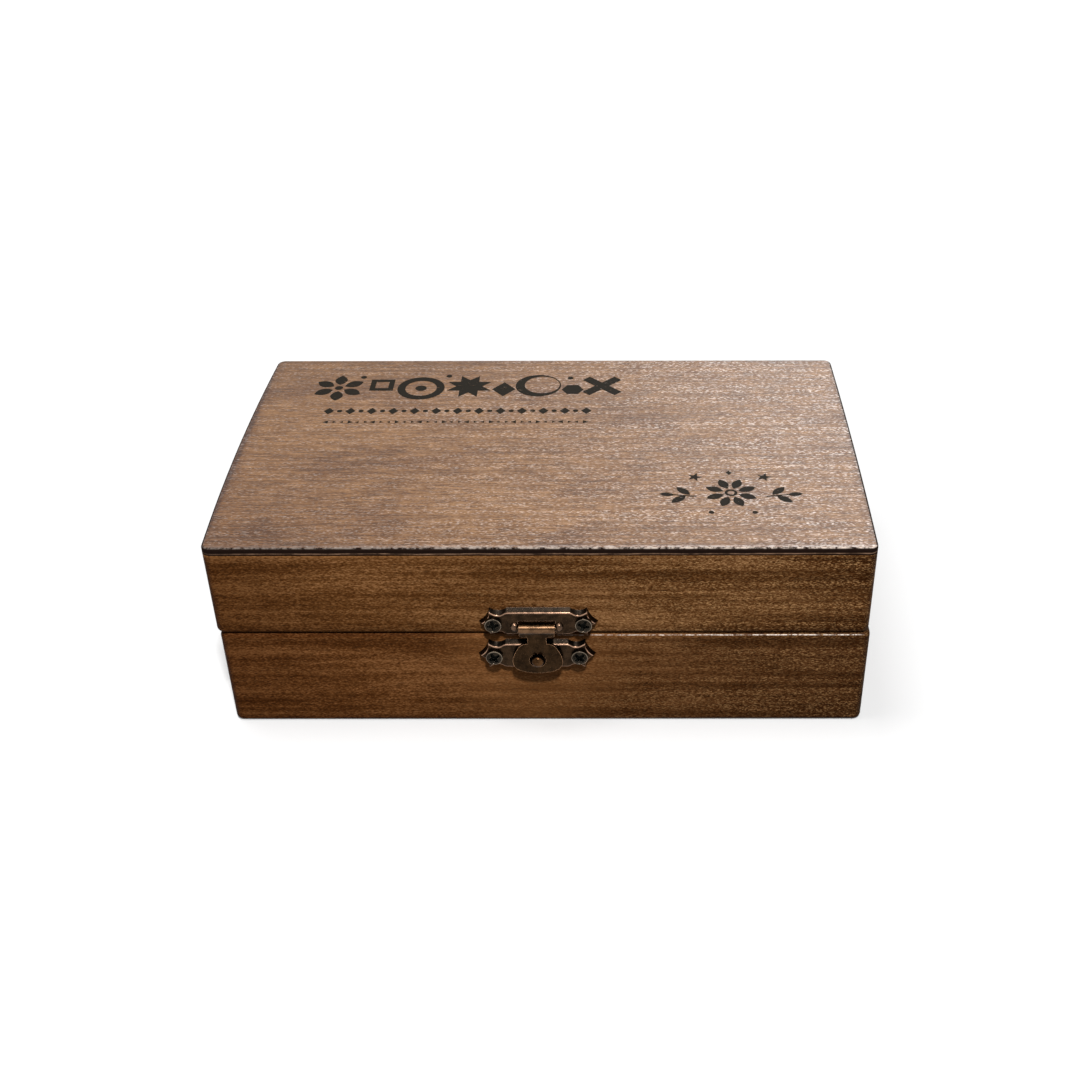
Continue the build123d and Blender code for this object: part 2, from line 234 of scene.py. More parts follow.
def makeGrainGroup():
    # wood with its grain along x: growth rings round a pith, streaks, fibres, specks, flecks and pores
    plan = grainPatterns
    group, start, end = newGroup(
        "woodGrain",
        {
            "Vector": (0, 0, 0),
            "Pith": (0, -40, -60),
            "Ring Width": 3.0,
            "Rings": 1.0,
            "Streaks": 1.0,
            "Fibres": 1.0,
            "Specks": 0.6,
            "Blotches": 0.6,
            "Fibre Size": (6.0, 0.45, 0.45),
            "Speck Size": (1.0, 0.35, 0.35),
        },
        ("Tone", "Pores", "Flecks", "Height"),
    )
    vector = start["Vector"]
    warp = centred(noise(vector, *plan["warp"]), plan["warpWidth"])
    across = vectorCalc("MULTIPLY", vectorCalc("SUBTRACT", vector, start["Pith"]), (0, 1, 1))
    radius = plus(vectorCalc("LENGTH", across), warp)
    ringPlace = addNode(group, "ShaderNodeCombineXYZ", {
        "X": times(parts(vector)["X"], plan["ringStretch"]),
        "Y": calc("DIVIDE", radius, start["Ring Width"]),
        "Z": plan["ringSeed"],
    }).outputs["Vector"]
    speckPlace = vectorCalc("DIVIDE", vector, start["Speck Size"])
    swings = {
        "Rings": noise(ringPlace, *plan["rings"]),
        "Streaks": noise(vector, *plan["streaks"]),
        "Fibres": noise(vectorCalc("DIVIDE", vector, start["Fibre Size"]), *plan["fibres"]),
        "Specks": noise(speckPlace, *plan["specks"]),
        "Blotches": noise(vectorCalc("ADD", vector, plan["blotchSeed"]), *plan["blotches"]),
    }
    tone = 0.5
    for amount, value in swings.items():
        tone = plus(tone, centred(value, start[amount]))
    scattered = patches(vectorCalc("ADD", speckPlace, plan["fleckSeed"]), *plan["flecks"])
    pores = patches(vectorCalc("ADD", vector, plan["poreSeed"]), *plan["pores"])
    raised = plus(swings["Fibres"], times(swings["Specks"], plan["speckHeight"]))
    feed(end, {
        "Tone": tone,
        "Pores": pores,
        "Flecks": times(scattered, remap(swings["Streaks"], *plan["fleckStreaks"])),
        "Height": minus(raised, pores),
    })
    return group


def makeArrisGroup():
    # distance from the nearest long edge of a block, in millimetres
    inputs = {"Vector": (0, 0, 0), "Centre": (0, 0, 0), "Half Size": (1, 1, 1)}
    group, start, end = newGroup("arrisDistance", inputs, ("Distance",))
    offset = vectorCalc("ABSOLUTE", vectorCalc("SUBTRACT", start["Vector"], start["Centre"]))
    inside = parts(vectorCalc("SUBTRACT", start["Half Size"], offset))
    lower = calc("MINIMUM", inside["X"], inside["Y"])
    upper = calc("MAXIMUM", inside["X"], inside["Y"])
    feed(end, {"Distance": calc("MAXIMUM", lower, calc("MINIMUM", upper, inside["Z"]))})
    return group


wearPattern = {"radius": 0.00016, "samples": 6, "patches": (0.9, 3.0, 0.6, 0.3, 0.6, 0.35, 1.0)}


def makeWearGroup():
    # sharp edges, found where the rounded normal leaves the true one
    plan = wearPattern
    inputs = {"Vector": (0, 0, 0), "Low": 0.02, "High": 0.2}
    group, start, end = newGroup("edgeWear", inputs, ("Wear",))
    bevel = addNode(group, "ShaderNodeBevel", {"Radius": plan["radius"]}, samples=plan["samples"])
    true = addNode(group, "ShaderNodeNewGeometry").outputs["Normal"]
    turned = minus(1.0, vectorCalc("DOT_PRODUCT", bevel.outputs["Normal"], true))
    wear = remap(turned, start["Low"], start["High"], 0.0, 1.0, "LINEAR")
    feed(end, {"Wear": times(wear, patches(start["Vector"], *plan["patches"]), True)})
    return group


woodGrain = makeGrainGroup()
arrisDistance = makeArrisGroup()
edgeWear = makeWearGroup()
print("surface effects ready")


# Wood

def woodTones(look, tone):
    ramp = addNode(treeOf(tone), "ShaderNodeValToRGB", {"Fac": tone})
    elements = ramp.color_ramp.elements
    for element, share, name in zip(elements, look["toneEnds"], ("dark", "pale")):
        element.position = share
        element.color = look[name]
    elements.new(0.5).color = look["middle"]
    return ramp.outputs["Color"]


def withPores(look, grain, colour):
    return stain(times(grain["Pores"], look["poreShare"]), colour, look["pore"])


def edgeStained(look, vector, place, centre, half, colour):
    # stain gathers along the edges of the block
    distance = useGroup(arrisDistance, place, {"Centre": centre, "Half Size": half})["Distance"]
    ragged = times(noise(vector, *look["raggedEdge"]), look["raggedWidth"])
    return stain(remap(minus(distance, ragged), *look["edgeLimits"]), colour, look["edgeStain"])


def endStained(place, centre, half, reach, share, colour, tint):
    # the very ends are darker, from the first reach inside the end and fully from the second
    fromMiddle = calc("ABSOLUTE", minus(place["X"], centre[0]))
    atEnd = remap(fromMiddle, half[0] - reach[0], half[0] - reach[1], 0.0, share)
    return stain(atEnd, colour, tint)


def wornEdges(look, vector, colour, bare):
    wear = useGroup(edgeWear, vector, look["wear"])["Wear"]
    return blend(times(wear, look["wearShare"]), colour, bare)


def finishWood(look, shader, grain, colour, coat=None):
    roughness = remap(grain["Tone"], *grainPatterns["toneLimits"], *look["roughness"])
    finish(look, shader, colour, roughness, grain["Height"])
    if coat:
        feed(shader, {"Coat Weight": coat, "Coat Roughness": look["coatRoughness"]})


# centre and half size of the two halves of the case
halves = {
    "base": ((0, 0, caseSizes["baseTop"] / 2), (halfLength, halfDepth, caseSizes["baseTop"] / 2)),
    "lid": (
        (caseSizes["lidShift"], 0, (caseSizes["lidBottom"] + caseSizes["lidTop"]) / 2),
        (halfLength, halfDepth, (caseSizes["lidTop"] - caseSizes["lidBottom"]) / 2),
    ),
}
boardLook = {
    "dark": (0.068, 0.0220, 0.0044, 1),
    "middle": (0.160, 0.062, 0.0170, 1),
    "pale": (0.360, 0.170, 0.066, 1),
    "toneEnds": (0.12, 0.92),
    "grain": {
        "Ring Width": 4.0,
        "Rings": 0.8,
        "Streaks": 1.0,
        "Fibres": 0.6,
        "Specks": 1.8,
        "Blotches": 0.8,
        "Fibre Size": (8.0, 0.5, 0.5),
        "Speck Size": (0.62, 0.17, 0.17),
    },
    "pith": (0, -30, -75),
    "pore": (0.3, 0.25, 0.22, 1),
    "poreShare": 0.45,
    "clouds": ((0.03, 0.2, 0.2), 3.0),
    "edgeStain": (0.50, 0.44, 0.42, 1),
    "edgeLimits": (-2.0, 2.0, 0.55, 0.0),
    "raggedEdge": ((0.05, 0.7, 0.7), 3.0),
    "raggedWidth": 2.0,
    "endStain": (0.52, 0.44, 0.35, 1),
    "endReach": (52.0, 92.0),
    "endClouds": 26.0,
    "cornerStain": (0.38, 0.28, 0.22, 1),
    "cornerReach": (1.8, 0.2),
    "lowDarkening": (0.74, 0.70, 0.64, 1),
    "lowReach": (1.5, 10.0),
    "lowClouds": 5.0,
    "aroundHasp": (0.46, 0.21, 0.075, 1),
    "aroundHaspReach": (10.0, 27.0),
    "haspPlace": (-1.7, -45.5, 18.0),
    # colour of the painted glints
    "paintedGlint": (0.62, 0.345, 0.145, 1),
    "rightward": (-55.0, 60.0, 0.15, 1.0),
    "crestWave": ((0.2, 0.2, 0.0), 2.0),
    "crestPatches": (0.9, 4.0, 0.8, 0.42, 0.60, 0.05, 1.0),
    "crestEnd": (halfLength - 4.0, halfLength - 1.0, 1.0, 0.0),
    "wearAndHighlight": (0.50, 0.38, 0.29, 1),
    "wear": {"Low": 0.03, "High": 0.25},
    "wearShare": 0.25,
    "specular": 0.012,
    "roughness": (0.40, 0.56),
    "coatRoughness": 0.3,
    "bump": (0.7, 0.00006),
}


boardShades = {
    "base": {
        "ends": 0.8, "corners": 0.85, "aroundHasp": 0.30, "right": 0.54, "flecks": 0.38, "coat": 0.02,
        "tone": (0.84, 0.76, 0.70, 1),
    },
    "lid": {
        "ends": 1.0, "corners": 0.85, "aroundHasp": 0.0, "right": 0.34, "flecks": 0.64, "coat": 0.06,
        "tone": (1, 1, 1, 1),
    },
    "side": {
        "ends": 0.3, "corners": 0.0, "aroundHasp": 0.0, "right": 0.2, "flecks": 0.3, "coat": 0.1,
        "tone": (0.9, 0.86, 0.82, 1),
    },
}
# heights where the pale crest band starts, is full, is last full and ends; on the base boards it is a painted
# highlight
boardCrests = {
    # painted highlight along the top front arris, brighter to the right
    "base": {
        "heights": (25.55, 25.66, 25.7, 25.8), "wave": 0.1,
        "across": (-20.0, 50.0, 0.0, 1.0), "colour": (1.0, 0.88, 0.78, 1),
    },
    # painted highlight along the top arris of the base's end boards
    "side": {
        "heights": (25.5, 25.7, 25.75, 25.9), "wave": 0.1,
        "across": (-60.0, 60.0, 0.5, 0.5), "colour": (0.42, 0.24, 0.12, 1),
    },
    "lid": {
        "heights": (47.5, 48.0, 50.0, 50.5), "wave": 0.6,
        "across": (-60.0, 60.0, 0.75, 0.45), "colour": (0.28, 0.122, 0.038, 1),
    },
}


def stainedBoards(name, part, shadesName, crestName, turn=0, pithShift=0.0):
    look, shades, crest = boardLook, boardShades[shadesName], boardCrests[crestName]
    centre, half = halves[part]
    made, shader, vector = newMaterial(name, (0, 0, turn))
    unturned = objectPlace(made.node_tree)
    pith = (look["pith"][0], look["pith"][1] + pithShift, look["pith"][2] - pithShift)
    grain = useGroup(woodGrain, vector, {"Pith": pith, **look["grain"]})
    place = parts(unturned)
    cloudy = noise(vector, *look["clouds"])

    # darker along the edges, towards the ends and low on the board, warmer round the hasp
    colour = edgeStained(look, vector, unturned, centre, half, woodTones(look, grain["Tone"]))
    outward = plus(calc("ABSOLUTE", place["X"]), times(cloudy, look["endClouds"]))
    colour = stain(remap(outward, *look["endReach"], 0.0, shades["ends"]), colour, look["endStain"])
    colour = endStained(
        place, centre, half, look["cornerReach"], shades["corners"], colour, look["cornerStain"]
    )
    low, high = (centre[2] - half[2] + reach for reach in look["lowReach"])
    raised = plus(place["Z"], times(cloudy, look["lowClouds"]))
    colour = stain(remap(raised, low, high, 1.0, 0.0), colour, look["lowDarkening"])
    nearHasp = remap(
        distanceFrom(unturned, look["haspPlace"]), *look["aroundHaspReach"], shades["aroundHasp"], 0.0
    )
    colour = withPores(look, grain, blend(nearHasp, colour, look["aroundHasp"]))

    # painted glints: pale flecks painted where raised fibres would catch the light, more of them to the
    # right; the colour also darkens to the right
    rightward = remap(place["X"], *look["rightward"])
    colour = stain(1.0, blend(times(rightward, shades["right"]), colour, (0, 0, 0, 1)), shades["tone"])
    glints = times(grain["Flecks"], rightward)
    colour = blend(times(glints, shades["flecks"]), colour, look["paintedGlint"])

    # painted highlight along the crest of the base boards' upper edge, and a paler wavy band along the top of
    # the lid boards
    crestHeight = plus(place["Z"], times(noise(unturned, *look["crestWave"]), crest["wave"]))
    atCrest = times(band(crestHeight, *crest["heights"]), remap(place["X"], *look["crestEnd"]))
    atCrest = times(atCrest, patches(unturned, *look["crestPatches"]))
    colour = blend(times(atCrest, remap(place["X"], *crest["across"])), colour, crest["colour"])
    colour = wornEdges(look, vector, colour, look["wearAndHighlight"])
    finishWood(look, shader, grain, colour, times(glints, shades["coat"]))
    return made


panelLook = {
    "dark": (0.076, 0.0315, 0.0095, 1),
    "middle": (0.140, 0.062, 0.0205, 1),
    "pale": (0.250, 0.132, 0.058, 1),
    "toneEnds": (0.1, 0.95),
    "grain": {
        "Pith": (0, 10, -260),
        "Ring Width": 1.1,
        "Rings": 0.35,
        "Streaks": 0.5,
        "Fibres": 3.1,
        "Specks": 1.3,
        "Blotches": 0.6,
        "Fibre Size": (5.0, 0.30, 0.30),
        "Speck Size": (0.9, 0.24, 0.24),
    },
    "pore": (0.45, 0.38, 0.36, 1),
    "poreShare": 0.4,
    "blotch": (0.74, 0.69, 0.67, 1),
    "clouds": ((0.04, 0.06, 0.06), 4.0, 0.65, 0.47, 0.65),
    "corner": (0.82, 0.78, 0.76, 1),
    "cornerLimits": (12.0, 62.0, 1.0, 0.0),
    "edgeStain": (0.60, 0.53, 0.50, 1),
    "edgeLimits": (-1.5, 2.2, 0.7, 0.0),
    "raggedEdge": ((0.05, 0.4, 0.4), 3.0),
    "raggedWidth": 2.5,
    "rim": (0.40, 0.31, 0.26, 1),
    "rimReach": (1.0, 0.0),
    "rimShare": 0.9,
    "paintedGlint": (0.90, 0.76, 0.66, 1),
    "paintedGlintShares": (-70.0, 60.0, 0.10, 0.44),
    # colour of the painted sheen along the front edge
    "paintedSheen": (0.86, 0.77, 0.71, 1),
    "paintedSheenPatches": ((0.7, 1.6, 1.6), 4.0, 0.75, 0.40, 0.58),
    "paintedSheenDepth": (-44.8, -43.9, 1.0, 0.0),
    "paintedSheenShares": (-70.0, 50.0, 0.06, 0.42),
    "specular": 0.25,
    "roughness": (0.42, 0.54),
    "coat": (0.0, 1.0, 0.05, 1.0),
    "coatRoughness": 0.34,
    "bump": (0.8, 0.00005),
}


def panelFace(name):
    look = panelLook
    centre, half = halves["lid"]
    made, shader, vector = newMaterial(name)
    grain = useGroup(woodGrain, vector, look["grain"])
    place = parts(vector)
    frontLeft = (centre[0] - half[0], centre[1] - half[1], centre[2] + half[2])
    colour = withPores(look, grain, woodTones(look, grain["Tone"]))
    colour = stain(patches(vector, *look["clouds"]), colour, look["blotch"])
    colour = stain(remap(distanceFrom(vector, frontLeft), *look["cornerLimits"]), colour, look["corner"])
    colour = edgeStained(look, vector, vector, centre, half, colour)
    colour = endStained(place, centre, half, look["rimReach"], look["rimShare"], colour, look["rim"])

    # painted glints as pale flecks, and a painted sheen along the front edge, more of both to the right
    colour = blend(times(grain["Flecks"], remap(place["X"], *look["paintedGlintShares"])), colour, look["paintedGlint"])
    paintedSheenMask = times(patches(vector, *look["paintedSheenPatches"]), remap(place["Y"], *look["paintedSheenDepth"]))
    paintedSheenMask = times(paintedSheenMask, remap(place["X"], *look["paintedSheenShares"]))
    colour = blend(paintedSheenMask, colour, look["paintedSheen"])
    finishWood(look, shader, grain, colour, remap(grain["Flecks"], *look["coat"]))
    return made


plyLook = {
    "dark": (0.007, 0.0045, 0.0035, 1),
    "grit": (0.020, 0.010, 0.007, 1),
    "gritPattern": ((1.2, 1.2, 3.0), 3.0, 0.6),
    "line": (0.34, 0.20, 0.125, 1),
    "lineHeight": 48.5,
    "lineLimits": (0.07, 0.21, 1.0, 0.0),
    "lineWander": ((0.12, 0.12, 0.0), 3.0),
    "wanderWidth": 0.5,
    "linePatches": (0.25, 4.0, 0.7, 0.3, 0.7, 0.1, 0.9),
    "arrisHighlight": (0.56, 0.46, 0.39, 1),
    "arrisHeight": (49.62, 49.86),
    "arrisPatches": (0.7, 4.0, 0.75, 0.38, 0.60),
    "arrisShares": (-60.0, 60.0, 0.3, 1.0),
    "arrisDepth": (-44.4, -43.8, 1.0, 0.0),
    "specular": 0.005,
    "roughness": 0.5,
    "bump": (0.6, 0.00008),
}


def panelEdge(name):
    # dark stained plywood: a thin pale line at its middle layer, and a painted highlight on the arris above
    look = plyLook
    made, shader, vector = newMaterial(name)
    place = parts(vector)
    wander = centred(noise(vector, *look["lineWander"]), look["wanderWidth"])
    fromLine = calc("ABSOLUTE", minus(plus(place["Z"], wander), look["lineHeight"]))
    line = times(remap(fromLine, *look["lineLimits"]), patches(vector, *look["linePatches"]))
    grit = noise(vector, *look["gritPattern"])
    colour = blend(line, blend(grit, look["dark"], look["grit"]), look["line"])
    # painted highlight on the top arris, at the front only and stronger to the right
    wearAndHighlight = times(remap(place["Z"], *look["arrisHeight"]), patches(vector, *look["arrisPatches"]))
    wearAndHighlight = times(wearAndHighlight, remap(place["X"], *look["arrisShares"]))
    wearAndHighlight = times(wearAndHighlight, remap(place["Y"], *look["arrisDepth"]))
    finish(look, shader, blend(wearAndHighlight, colour, look["arrisHighlight"]), look["roughness"], grit)
    return made


innerLook = {
    "dark": (0.16, 0.085, 0.042, 1),
    "pale": (0.40, 0.26, 0.155, 1),
    "grain": {"Pith": (0, 5, -200), "Ring Width": 2.0, "Rings": 0.9, "Fibres": 0.9, "Specks": 0.6},
    "pore": (0.35, 0.28, 0.25, 1),
    "poreShare": 0.4,
    "specular": 0.3,
    "roughness": (0.5, 0.65),
    "bump": (0.5, 0.00006),
}


def plainPanel(name):
    # the base's panel and the lid's ceiling
    look = innerLook
    made, shader, vector = newMaterial(name)
    grain = useGroup(woodGrain, vector, look["grain"])
    finishWood(look, shader, grain, withPores(look, grain, blend(grain["Tone"], look["dark"], look["pale"])))
    return made


stampLook = {
    "dark": (0.33, 0.195, 0.10, 1),
    "pale": (0.70, 0.51, 0.32, 1),
    "grain": {"Pith": (0, -20, -30), "Ring Width": 1.4, "Rings": 1.3, "Streaks": 0.6, "Fibres": 0.8},
    "pore": (0.5, 0.4, 0.32, 1),
    "poreShare": 0.35,
    "pitch": (13.0, 10.1, 400.0),
    "cell": (0.0, 5.05, 100.0),
    "grainSpread": (90, 90, 90),
    "toneSpread": (-0.22, 0.22),
    "wear": {"Low": 0.03, "High": 0.3},
    "wearShare": 0.35,
    "specular": 0.35,
    "roughness": (0.52, 0.68),
    "bump": (0.5, 0.00005),
}


def paleHardwood(name):
    # each block gets its own place in the grain and its own tone
    look = stampLook
    made, shader, vector = newMaterial(name, (0, quarterTurn, 0))
    tree = made.node_tree
    cell = vectorCalc("SNAP", objectPlace(tree, shift=look["cell"]), look["pitch"])
    chance = addNode(tree, "ShaderNodeTexWhiteNoise", {"Vector": cell}, noise_dimensions="3D").outputs
    moved = vectorCalc("ADD", vector, vectorCalc("MULTIPLY", chance["Color"], look["grainSpread"]))
    grain = useGroup(woodGrain, moved, look["grain"])
    tone = plus(grain["Tone"], remap(chance["Value"], 0.0, 1.0, *look["toneSpread"]), True)
    colour = withPores(look, grain, blend(tone, look["dark"], look["pale"]))
    finishWood(look, shader, grain, wornEdges(look, vector, colour, look["pale"]))
    return made


# Metal

metalPatterns = {
    "clouds": (0.55, 4.0, 0.6),
    "grit": (7.0, 2.0, 0.6),
    "patinaLimits": (0.32, 0.68),
    "bandLimits": (0.3, 0.6),
    "speckLimits": (0.66, 0.76, 0.0, 0.25),
    "roughnessLimits": (0.3, 0.7),
    "bump": (0.35, 0.00002),
}
# each metal's patina, the metal shown where it is worn and where highlights are painted,
# and how sharp an edge has to be for that
# a band of wear and painted highlight lies up the box or out of its wood: start, full, last full, end and
# share
metalLooks = {
    "bronze": {
        "name": "agedBronze",
        "patina": ((0.0150, 0.0090, 0.0052, 1), (0.038, 0.0215, 0.0115, 1)),
        "bare": (0.60, 0.36, 0.24, 1),
        "wear": {"Low": 0.045, "High": 0.20},
        "roughness": (0.22, 0.32),
    },
    "tongue": {
        "name": "tongueBronze",
        "patina": ((0.0135, 0.0074, 0.0036, 1), (0.034, 0.0178, 0.0078, 1)),
        "bare": (0.72, 0.40, 0.22, 1),
        "wear": {"Low": 0.008, "High": 0.10},
        "roughness": (0.22, 0.32),
        # painted highlight along the knuckle's upper front, a painted coppery reflection round its front, and
        # a thin painted coppery line below that
        "wearAndHighlight": (
            ("up", (29.40, 29.75, 29.98, 30.10), 0.10),
            ("up", (28.2, 29.0, 29.4, 29.7), 0.17),
            ("up", (28.46, 28.60, 28.70, 28.84), 0.22),
        ),
    },
    # a lighter copy of the bronze for the ears: painted highlight
    "ears": {
        "name": "earBronzeHighlight",
        "patina": ((0.055, 0.034, 0.022, 1), (0.16, 0.095, 0.060, 1)),
        "bare": (0.78, 0.45, 0.28, 1),
        "wear": {"Low": 0.010, "High": 0.09},
        "roughness": (0.20, 0.30),
    },
    "stud": {
        "name": "brassyStud",
        "patina": ((0.025, 0.0115, 0.0045, 1), (0.076, 0.036, 0.0140, 1)),
        "bare": (0.82, 0.62, 0.46, 1),
        "wear": {"Low": 0.02, "High": 0.15},
        "roughness": (0.20, 0.30),
    },
    "screws": {
        "name": "darkScrews",
        "patina": ((0.0095, 0.0076, 0.0056, 1), (0.027, 0.0205, 0.0145, 1)),
        "bare": (0.52, 0.42, 0.31, 1),
        "wear": {"Low": 0.04, "High": 0.20},
        "roughness": (0.18, 0.28),
    },
    # a lighter copy of the screw metal for one ring of the rim: painted highlight
    "rims": {
        "name": "screwRimHighlight",
        "patina": ((0.10, 0.077, 0.056, 1), (0.26, 0.205, 0.150, 1)),
        "bare": (0.52, 0.43, 0.33, 1),
        "wear": {"Low": 0.06, "High": 0.30},
        "roughness": (0.22, 0.32),
    },
    # the cross recess painted near black: painted shade
    "recess": {
        "name": "screwRecess",
        "patina": ((0.002, 0.002, 0.002, 1), (0.006, 0.006, 0.005, 1)),
        "bare": (0.16, 0.15, 0.12, 1),
        "wear": {"Low": 0.06, "High": 0.3},
        "roughness": (0.35, 0.5),
    },
}
metalLooks["plates"] = {
    **metalLooks["bronze"],
    "name": "plateBronze",
    # the ridge is worn, and painted brighter where the lamp's glint lies
    "wearAndHighlight": (("out", (1.10, 1.18, 1.25, 1.29), 0.7),),
    # the slopes near the wood are painted darker, a painted dark reflection, and show less edge wear
    "darkSlopes": {"reach": (0.80, 1.10), "share": 0.75, "wear": 0.3, "colour": (0.0155, 0.0125, 0.0100, 1)},
}


def agedMetal(look):
    plan = metalPatterns
    made, shader, vector = newMaterial(look["name"])
    clouds = noise(vector, *plan["clouds"])
    grit = noise(vector, *plan["grit"])
    patina = blend(remap(clouds, *plan["patinaLimits"]), *look["patina"])
    wear = useGroup(edgeWear, vector, look["wear"])["Wear"]
    place = parts(vector)
    proud = minus(-halfDepth, place["Y"])
    # painted dark reflection on the slopes near the wood
    if "darkSlopes" in look:
        darkSlopes = look["darkSlopes"]
        patina = blend(remap(proud, *darkSlopes["reach"], darkSlopes["share"], 0.0), patina, darkSlopes["colour"])
        wear = times(wear, remap(proud, *darkSlopes["reach"], darkSlopes["wear"], 1.0))
    # bands of bare metal colour: wear, and painted highlights and reflections
    for along, heights, share in look.get("wearAndHighlight", ()):
        patchy = remap(clouds, *plan["bandLimits"], 0.5 * share, share)
        wear = calc("MAXIMUM", wear, times(band(proud if along == "out" else place["Z"], *heights), patchy))
    colour = blend(plus(wear, remap(grit, *plan["speckLimits"]), True), patina, look["bare"])
    feed(shader, {"Metallic": 1.0})
    finish(plan, shader, colour, remap(clouds, *plan["roughnessLimits"], *look["roughness"]), grit)
    return made


# Rubber and ink

rubberLook = {
    "dark": (0.17, 0.028, 0.024, 1),
    "dusty": (0.33, 0.075, 0.062, 1),
    "dust": (1.2, 4.0, 0.65),
    "roughness": (0.3, 0.7, 0.62, 0.8),
    "bump": (0.3, 0.00004),
}


def rubberSheet(name):
    look = rubberLook
    made, shader, vector = newMaterial(name)
    dust = noise(vector, *look["dust"])
    finish(look, shader, blend(dust, look["dark"], look["dusty"]), remap(dust, *look["roughness"]), dust)
    return made


inkLook = {
    "black": (0.008, 0.0066, 0.0048, 1),
    "grey": (0.019, 0.0157, 0.0115, 1),
    "fibres": ((0.5, 3.2, 3.2), 2.0, 0.6),
    "thinning": ((0.3, 0.5, 0.5), 2.0, 0.5, 0.35, 0.65, -0.05, 0.05),
    "gaps": (0.66, 0.74, 1.0, 0.12),
    "specular": 0.02,
    "roughness": (0.3, 0.7, 0.45, 0.6),
    "bump": (0.4, 0.00003),
}


def printInk(name):
    # the wood shows through where its fibres took no ink
    look = inkLook
    made, shader, vector = newMaterial(name)
    fibres = noise(vector, *look["fibres"])
    feed(shader, {"Alpha": remap(plus(fibres, patches(vector, *look["thinning"])), *look["gaps"])})
    colour = blend(fibres, look["black"], look["grey"])
    finish(look, shader, colour, remap(fibres, *look["roughness"]), fibres)
    return made


materials = {
    "baseLong": stainedBoards("baseBoardsLong", "base", "base", "base"),
    "baseShort": stainedBoards("baseBoardsShort", "base", "side", "side", quarterTurn, 9.0),
    "lidLong": stainedBoards("lidBoardsLong", "lid", "lid", "lid", 0, 23.0),
    "lidShort": stainedBoards("lidBoardsShort", "lid", "side", "lid", quarterTurn, 31.0),
    "lidPanel": panelFace("lidPanelFace"),
    "lidPanelEdge": panelEdge("lidPanelEdge"),
    "basePanel": plainPanel("basePanelFace"),
    **{metal: agedMetal(look) for metal, look in metalLooks.items()},
    "stamps": paleHardwood("stampHardwood"),
    "rubber": rubberSheet("stampRubber"),
    "ink": printInk("lidInk"),
}
print("materials ready")


# Mesh helpers

finishSizes = {"softenSteps": 2, "normalWeight": 80}


def finishPiece(bm, name, body, material, node=None, soften=0.0, softenAngle=40.0, sheet=0.0):
    bmesh.ops.scale(bm, vec=(millimetre,) * 3, verts=bm.verts)
    mesh = bpy.data.meshes.new(name)
    bm.to_mesh(mesh)
    bm.free()
    for face in mesh.polygons:
        face.use_smooth = True
    piece = bpy.data.objects.new(name, mesh)
    bpy.context.scene.collection.objects.link(piece)
    piece.data.materials.append(material)
    if sheet:
        wall = piece.modifiers.new("sheet", "SOLIDIFY")
        wall.thickness = sheet * millimetre
        wall.offset = -1.0
        wall.use_even_offset = False
    if soften:
        edges = piece.modifiers.new("soften", "BEVEL")
        edges.width = soften * millimetre
        edges.segments = finishSizes["softenSteps"]
        edges.limit_method = "ANGLE"
        edges.angle_limit = math.radians(softenAngle)
    shade = piece.modifiers.new("shade", "WEIGHTED_NORMAL")
    shade.keep_sharp = True
    shade.weight = finishSizes["normalWeight"]
    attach(piece, body)
    if node:
        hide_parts(node)
    return piece


def move(bm, vec, verts=None):
    bmesh.ops.translate(bm, vec=vec, verts=verts or bm.verts)


def turnFlat(bm, degrees, verts=None):
    turn = Matrix.Rotation(math.radians(degrees), 3, "Z")
    bmesh.ops.rotate(bm, cent=(0, 0, 0), matrix=turn, verts=verts or bm.verts)


def standOnFront(bm, vec=(0, 0, 0)):
    # moved in the drawing plane, then stood up against the front board
    move(bm, vec)
    bmesh.ops.transform(bm, matrix=onFront, verts=bm.verts)


def addBlock(bm, centre, size):
    made = bmesh.ops.create_cube(bm, size=1)["verts"]
    bmesh.ops.scale(bm, vec=size, verts=made)
    move(bm, centre, made)


def cut(bm, place, normal, clear=False):
    everything = bm.verts[:] + bm.edges[:] + bm.faces[:]
    bmesh.ops.bisect_plane(
        bm, geom=everything, dist=1e-5, plane_co=place, plane_no=normal, clear_outer=clear
    )


def roundEdges(bm, edges, radius, segments):
    bmesh.ops.bevel(
        bm, geom=edges, offset=radius, offset_type="OFFSET", segments=segments, profile=0.5,
        affect="EDGES", material=-1, clamp_overlap=False,
    )


def levelEdges(bm, height):
    return [e for e in bm.edges if all(abs(v.co.z - height) < tiny for v in e.verts)]


def onlyVerts(geom):
    return [part for part in geom if isinstance(part, bmesh.types.BMVert)]


def arcThrough(first, middle, last, steps):
    # points of the arc after its first one
    (ax, ay), (bx, by), (cx, cy) = first, middle, last
    d = 2 * (ax * (by - cy) + bx * (cy - ay) + cx * (ay - by))
    a2, b2, c2 = ax * ax + ay * ay, bx * bx + by * by, cx * cx + cy * cy
    ux = (a2 * (by - cy) + b2 * (cy - ay) + c2 * (ay - by)) / d
    uy = (a2 * (cx - bx) + b2 * (ax - cx) + c2 * (bx - ax)) / d
    radius = math.hypot(ax - ux, ay - uy)
    start, half, end = (math.atan2(y - uy, x - ux) for x, y in (first, middle, last))
    toMiddle = (half - start + math.pi) % (2 * math.pi) - math.pi
    toEnd = (end - half + math.pi) % (2 * math.pi) - math.pi
    angles = [start + (toMiddle + toEnd) * k / steps for k in range(1, steps + 1)]
    return [(ux + radius * math.cos(angle), uy + radius * math.sin(angle)) for angle in angles]


def addLoop(bm, points, z=0.0):
    verts = [bm.verts.new((x, y, z)) for x, y in points]
    edges = [bm.edges.new((verts[k], verts[(k + 1) % len(verts)])) for k in range(len(verts))]
    return verts, edges


